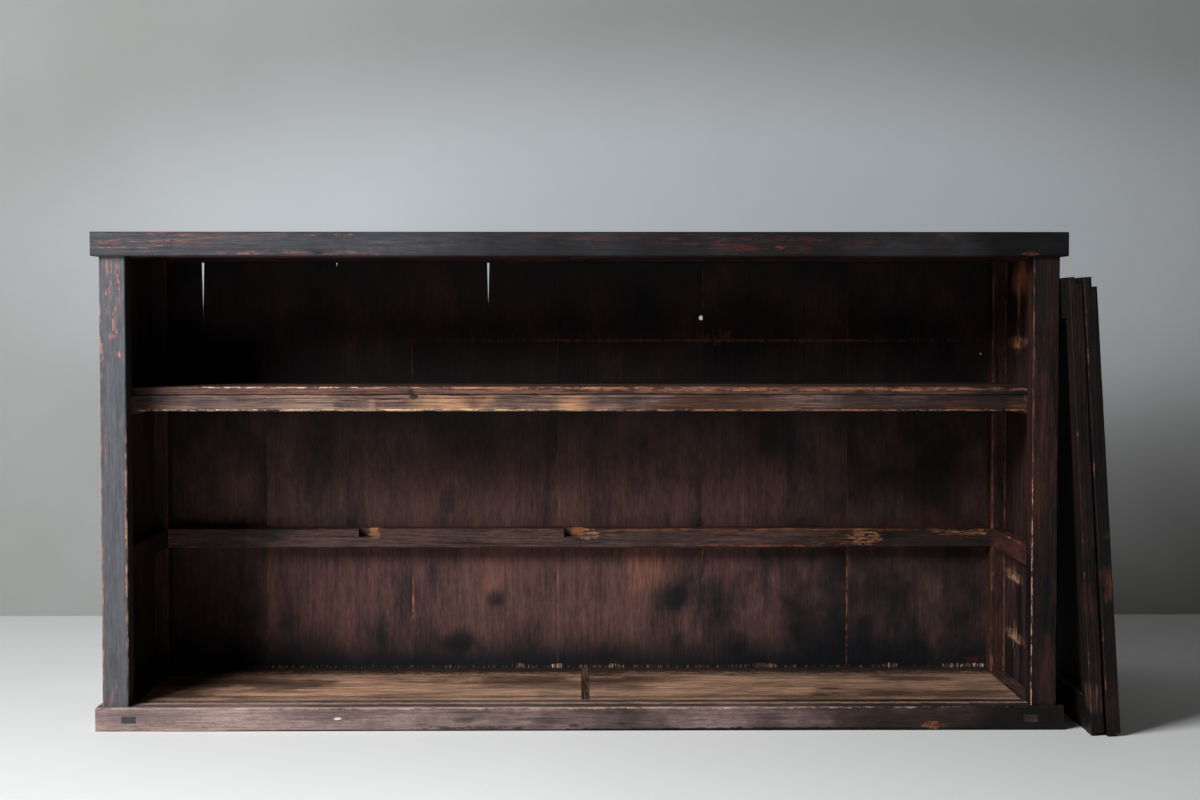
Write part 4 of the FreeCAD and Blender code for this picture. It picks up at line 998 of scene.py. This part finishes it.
BACK_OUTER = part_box("back_board_1")[1].y
NAIL_LOW, NAIL_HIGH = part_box("back_board_nails")
points = bpy.data.meshes.new("nail_places")
points.from_pydata(nail_places(), [], [])
pattern = new_object("nail_places", points)
forging = pattern.modifiers.new("forging", "NODES")
forging.node_group = forged_nails()
nail_sizes = {
    "Shank Width": 0.0029, "Shank Length": BACK_OUTER - NAIL_LOW.y,
    "Head Width": 0.0068, "Head Thickness": NAIL_HIGH.y - BACK_OUTER,
    "Hammering": 0.0008, "Seed": 7, "Iron": iron,
}
for item in forging.node_group.interface.items_tree:
    if item.in_out == "INPUT" and item.name in nail_sizes:
        forging[item.identifier] = nail_sizes[item.name]
evaluated = pattern.evaluated_get(bpy.context.evaluated_depsgraph_get())
mesh = bpy.data.meshes.new_from_object(evaluated)
mesh.name = "back_board_nails_forged"
pattern.modifiers.clear()
bpy.data.objects.remove(pattern)
stand_in(mesh, "back_board_nails", "case")

# Sliding doors: two light frames with lapped panels, taken off their tracks and leant on the
# case's right side. They are stained nearly black, with orange and pinkish worn arrises.


def door_stand(door, across):
    """Where a door's own frame stands: X across it, Y into it from the show face, Z up it."""
    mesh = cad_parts[f"{door}_left_stile"].data
    corners = [corner.co for corner in mesh.vertices]
    sides = [corners[edge.vertices[1]] - corners[edge.vertices[0]] for edge in mesh.edges]
    level = [side for side in sides if abs(side.y) < 1e-6]
    upright = max(level, key=lambda side: side.length).normalized()
    if upright.z < 0:
        upright = -upright
    side = Vector((0.0, across, 0.0))
    turn = Matrix((side, upright.cross(side), upright)).transposed().to_4x4()
    corner = corners_of(mesh, turn)[0]
    return Matrix.Translation(turn @ corner) @ turn


DOORS = {"front_door": -1.0, "rear_door": 1.0}
stile_marks = {
    "front_door": [
        ((124, 86, 72), 0.6, (0.0, 0.0, 0.08), (DEEP, DEEP, 0.05), -2.0, 0.9),
        ((76, 38, 31), 0.6, (0.0, 0.0, 0.32), (DEEP, DEEP, 0.08), -2.0, 0.7),
    ],
    "rear_door": [
        ((96, 56, 44), 0.5, (0.0, 0.0, 0.06), (DEEP, DEEP, 0.06), -2.0, 0.8),
        ((130, 72, 48), 0.7, (0.0, 0.0, 0.3), (DEEP, DEEP, 0.04), -2.4, 0.8),
        ((120, 66, 44), 0.6, (0.0, 0.0, 0.37), (DEEP, DEEP, 0.02), -2.4, 0.8),
    ],
}
seed = 40.0
for door, across in DOORS.items():
    stand = door_stand(door, across)
    for part in ("left_stile", "right_stile", "top_rail", "bottom_rail"):
        worn_piece(
            f"{door}_{part}", "door_frame_wood", 0.002, seed, door,
            grain="z" if "stile" in part else "x", stain=(19, 17, 17), rubbed=(50, 32, 26),
            bare=(140, 84, 62), share=0.2, contrast=0.7, gloss=0.12, stand=stand, reach=0.0015,
            knocked=0.35, marks=stile_marks[door] if "stile" in part else (),
        )
        seed += 1.0
    for board in (1, 2, 3):
        dressed(
            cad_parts[f"{door}_panel_board_{board}"],
            grain="z", stain=(22, 20, 20), rubbed=(48, 34, 30), bare=(140, 92, 70), share=0.3,
            seed=seed, stand=stand,
        )
        seed += 1.0
    dressed(
        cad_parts[f"{door}_battens"],
        grain="x", stain=(34, 28, 27), rubbed=(72, 48, 40), bare=(140, 92, 70), share=0.3,
        seed=seed, stand=stand,
    )
    seed += 1.0

# The room: a pale plastered floor and a plain grey wall a metre behind the case. Both are plain
# sheets, wide enough to fill the picture from every side that the case is looked at.
WALL_PLACE = 1.3
ROOM_HALF = 7.0
ROOM_HEIGHT = 5.0
# Painted light: the wall is painted palest behind the case and greyer to its left and above, as a pool of
# lamp light, and the floor is painted palest at the right, against the lamp's falloff there
WALL_LIGHT_POOL_MIDDLE = Vector((0.45, WALL_PLACE, 0.95))
WALL_LIGHT_POOL_REACH = Vector((1.9, 1.0, 0.55))
FLOOR_LIGHT_POOL_MIDDLE = Vector((0.8, 0.0, 0.0))
FLOOR_LIGHT_POOL_REACH = Vector((1.8, 5.0, 1.0))


def stage_sheet(name, first, last, material):
    """A sheet as wide as the room, from one Y and Z to another."""
    corners = [(-ROOM_HALF, *first), (ROOM_HALF, *first), (ROOM_HALF, *last), (-ROOM_HALF, *last)]
    mesh = bpy.data.meshes.new(name)
    mesh.from_pydata(corners, [], [(0, 1, 2, 3)])
    mesh.materials.append(material)
    sheet = new_object(name, mesh)


def plaster(name, pale, dull, middle, reach):
    """Plaster with the faint clouds that a trowel leaves, and a painted pool of light: palest at its
    middle and duller away from it.

    A camera behind it looks through it."""
    material, tree = new_material(name)
    place = tree.add("ShaderNodeTexCoord").outputs["Object"]
    clouds = tree.noise(place, (1.3, 1.3, 1.3), 6.0, 0.6)
    share = tree.between(clouds, 0.3, 0.7)
    away = tree.vector("DIVIDE", tree.vector("SUBTRACT", place, middle), reach)
    away = tree.between(tree.vector("LENGTH", away), 0.45, 1.2)
    share = tree.line(share, 0.12, tree.times(away, 0.88))
    colour = tree.blend(share, paint(*pale), paint(*dull))
    grit = tree.noise(place, (60.0, 60.0, 60.0), 4.0, 0.6)
    sockets = {"Base Color": colour, "Roughness": 0.8}
    surface = surfaced(tree, sockets, grit, 0.15, 0.002)
    behind = tree.add("ShaderNodeNewGeometry").outputs["Backfacing"]
    seen = tree.add("ShaderNodeLightPath").outputs["Is Camera Ray"]
    clear = tree.add("ShaderNodeBsdfTransparent").outputs["BSDF"]
    sockets = {0: tree.times(behind, seen), 1: surface, 2: clear}
    surface = tree.add("ShaderNodeMixShader", sockets).outputs[0]
    tree.add("ShaderNodeOutputMaterial", {"Surface": surface})
    return material


pale_floor = plaster("pale_floor", (249, 248, 246), (218, 217, 215), FLOOR_LIGHT_POOL_MIDDLE, FLOOR_LIGHT_POOL_REACH)
stage_sheet("room_floor", (-ROOM_HALF, 0.0), (WALL_PLACE, 0.0), pale_floor)
grey_wall = plaster("grey_wall", (196, 200, 203), (150, 150, 147), WALL_LIGHT_POOL_MIDDLE, WALL_LIGHT_POOL_REACH)
stage_sheet("room_wall", (WALL_PLACE, 0.0), (WALL_PLACE, ROOM_HEIGHT), grey_wall)

# Light: one wide soft lamp in front and to the left, like a window, and a weak even fill. The
# case's own left side throws the long shadow over its inside.
LAMP_PLACE = Vector((-2.6, -2.6, 2.6))
LAMP_AIM = Vector((-0.1, 0.0, 0.3))

lamp_data = bpy.data.lights.new("window_lamp", "AREA")
lamp_data.shape = "RECTANGLE"
lamp_data.size = 1.9
lamp_data.size_y = 1.9
lamp_data.energy = 240.0
lamp_data.color = (0.95, 0.975, 1.0)
lamp = new_object("window_lamp", lamp_data)
lamp.location = LAMP_PLACE
lamp.rotation_euler = (LAMP_AIM - LAMP_PLACE).to_track_quat("-Z", "Y").to_euler()

world = bpy.data.worlds.new("room_air")
world.use_nodes = True
air = world.node_tree.nodes["Background"]
# The fill is weak and warm, and a camera that looks past the room sees a plain grey
FILL_COLOUR = (1.0, 0.93, 0.87, 1.0)
FILL_STRENGTH = 0.032
SEEN_GREY = (0.94, 0.98, 1.0, 1.0)
SEEN_STRENGTH = 0.36

tree = Tree(world.node_tree)
seen = tree.add("ShaderNodeLightPath").outputs["Is Camera Ray"]
tree.feed(air.inputs["Color"], tree.blend(seen, FILL_COLOUR, SEEN_GREY))
tree.feed(air.inputs["Strength"], tree.line(seen, SEEN_STRENGTH - FILL_STRENGTH, FILL_STRENGTH))
bpy.context.scene.world = world

# Camera: at the photograph's place, a little right of square on and tipped slightly down. It is
# four metres away, with a lens of 61.5 mm.
camera_data = bpy.data.cameras.new("camera")
CAMERA_TIP = 0.0371
CAMERA_TURN = -0.0102
camera_data.sensor_width = 36.0
camera_data.lens = 61.5
camera = new_object("camera", camera_data)
camera.location = (-0.0028, -4.0363, 0.761)
camera.rotation_euler = (math.pi / 2 - CAMERA_TIP, 0.0, CAMERA_TURN)
bpy.context.scene.camera = camera

bpy.context.scene.view_settings.view_transform = "Standard"
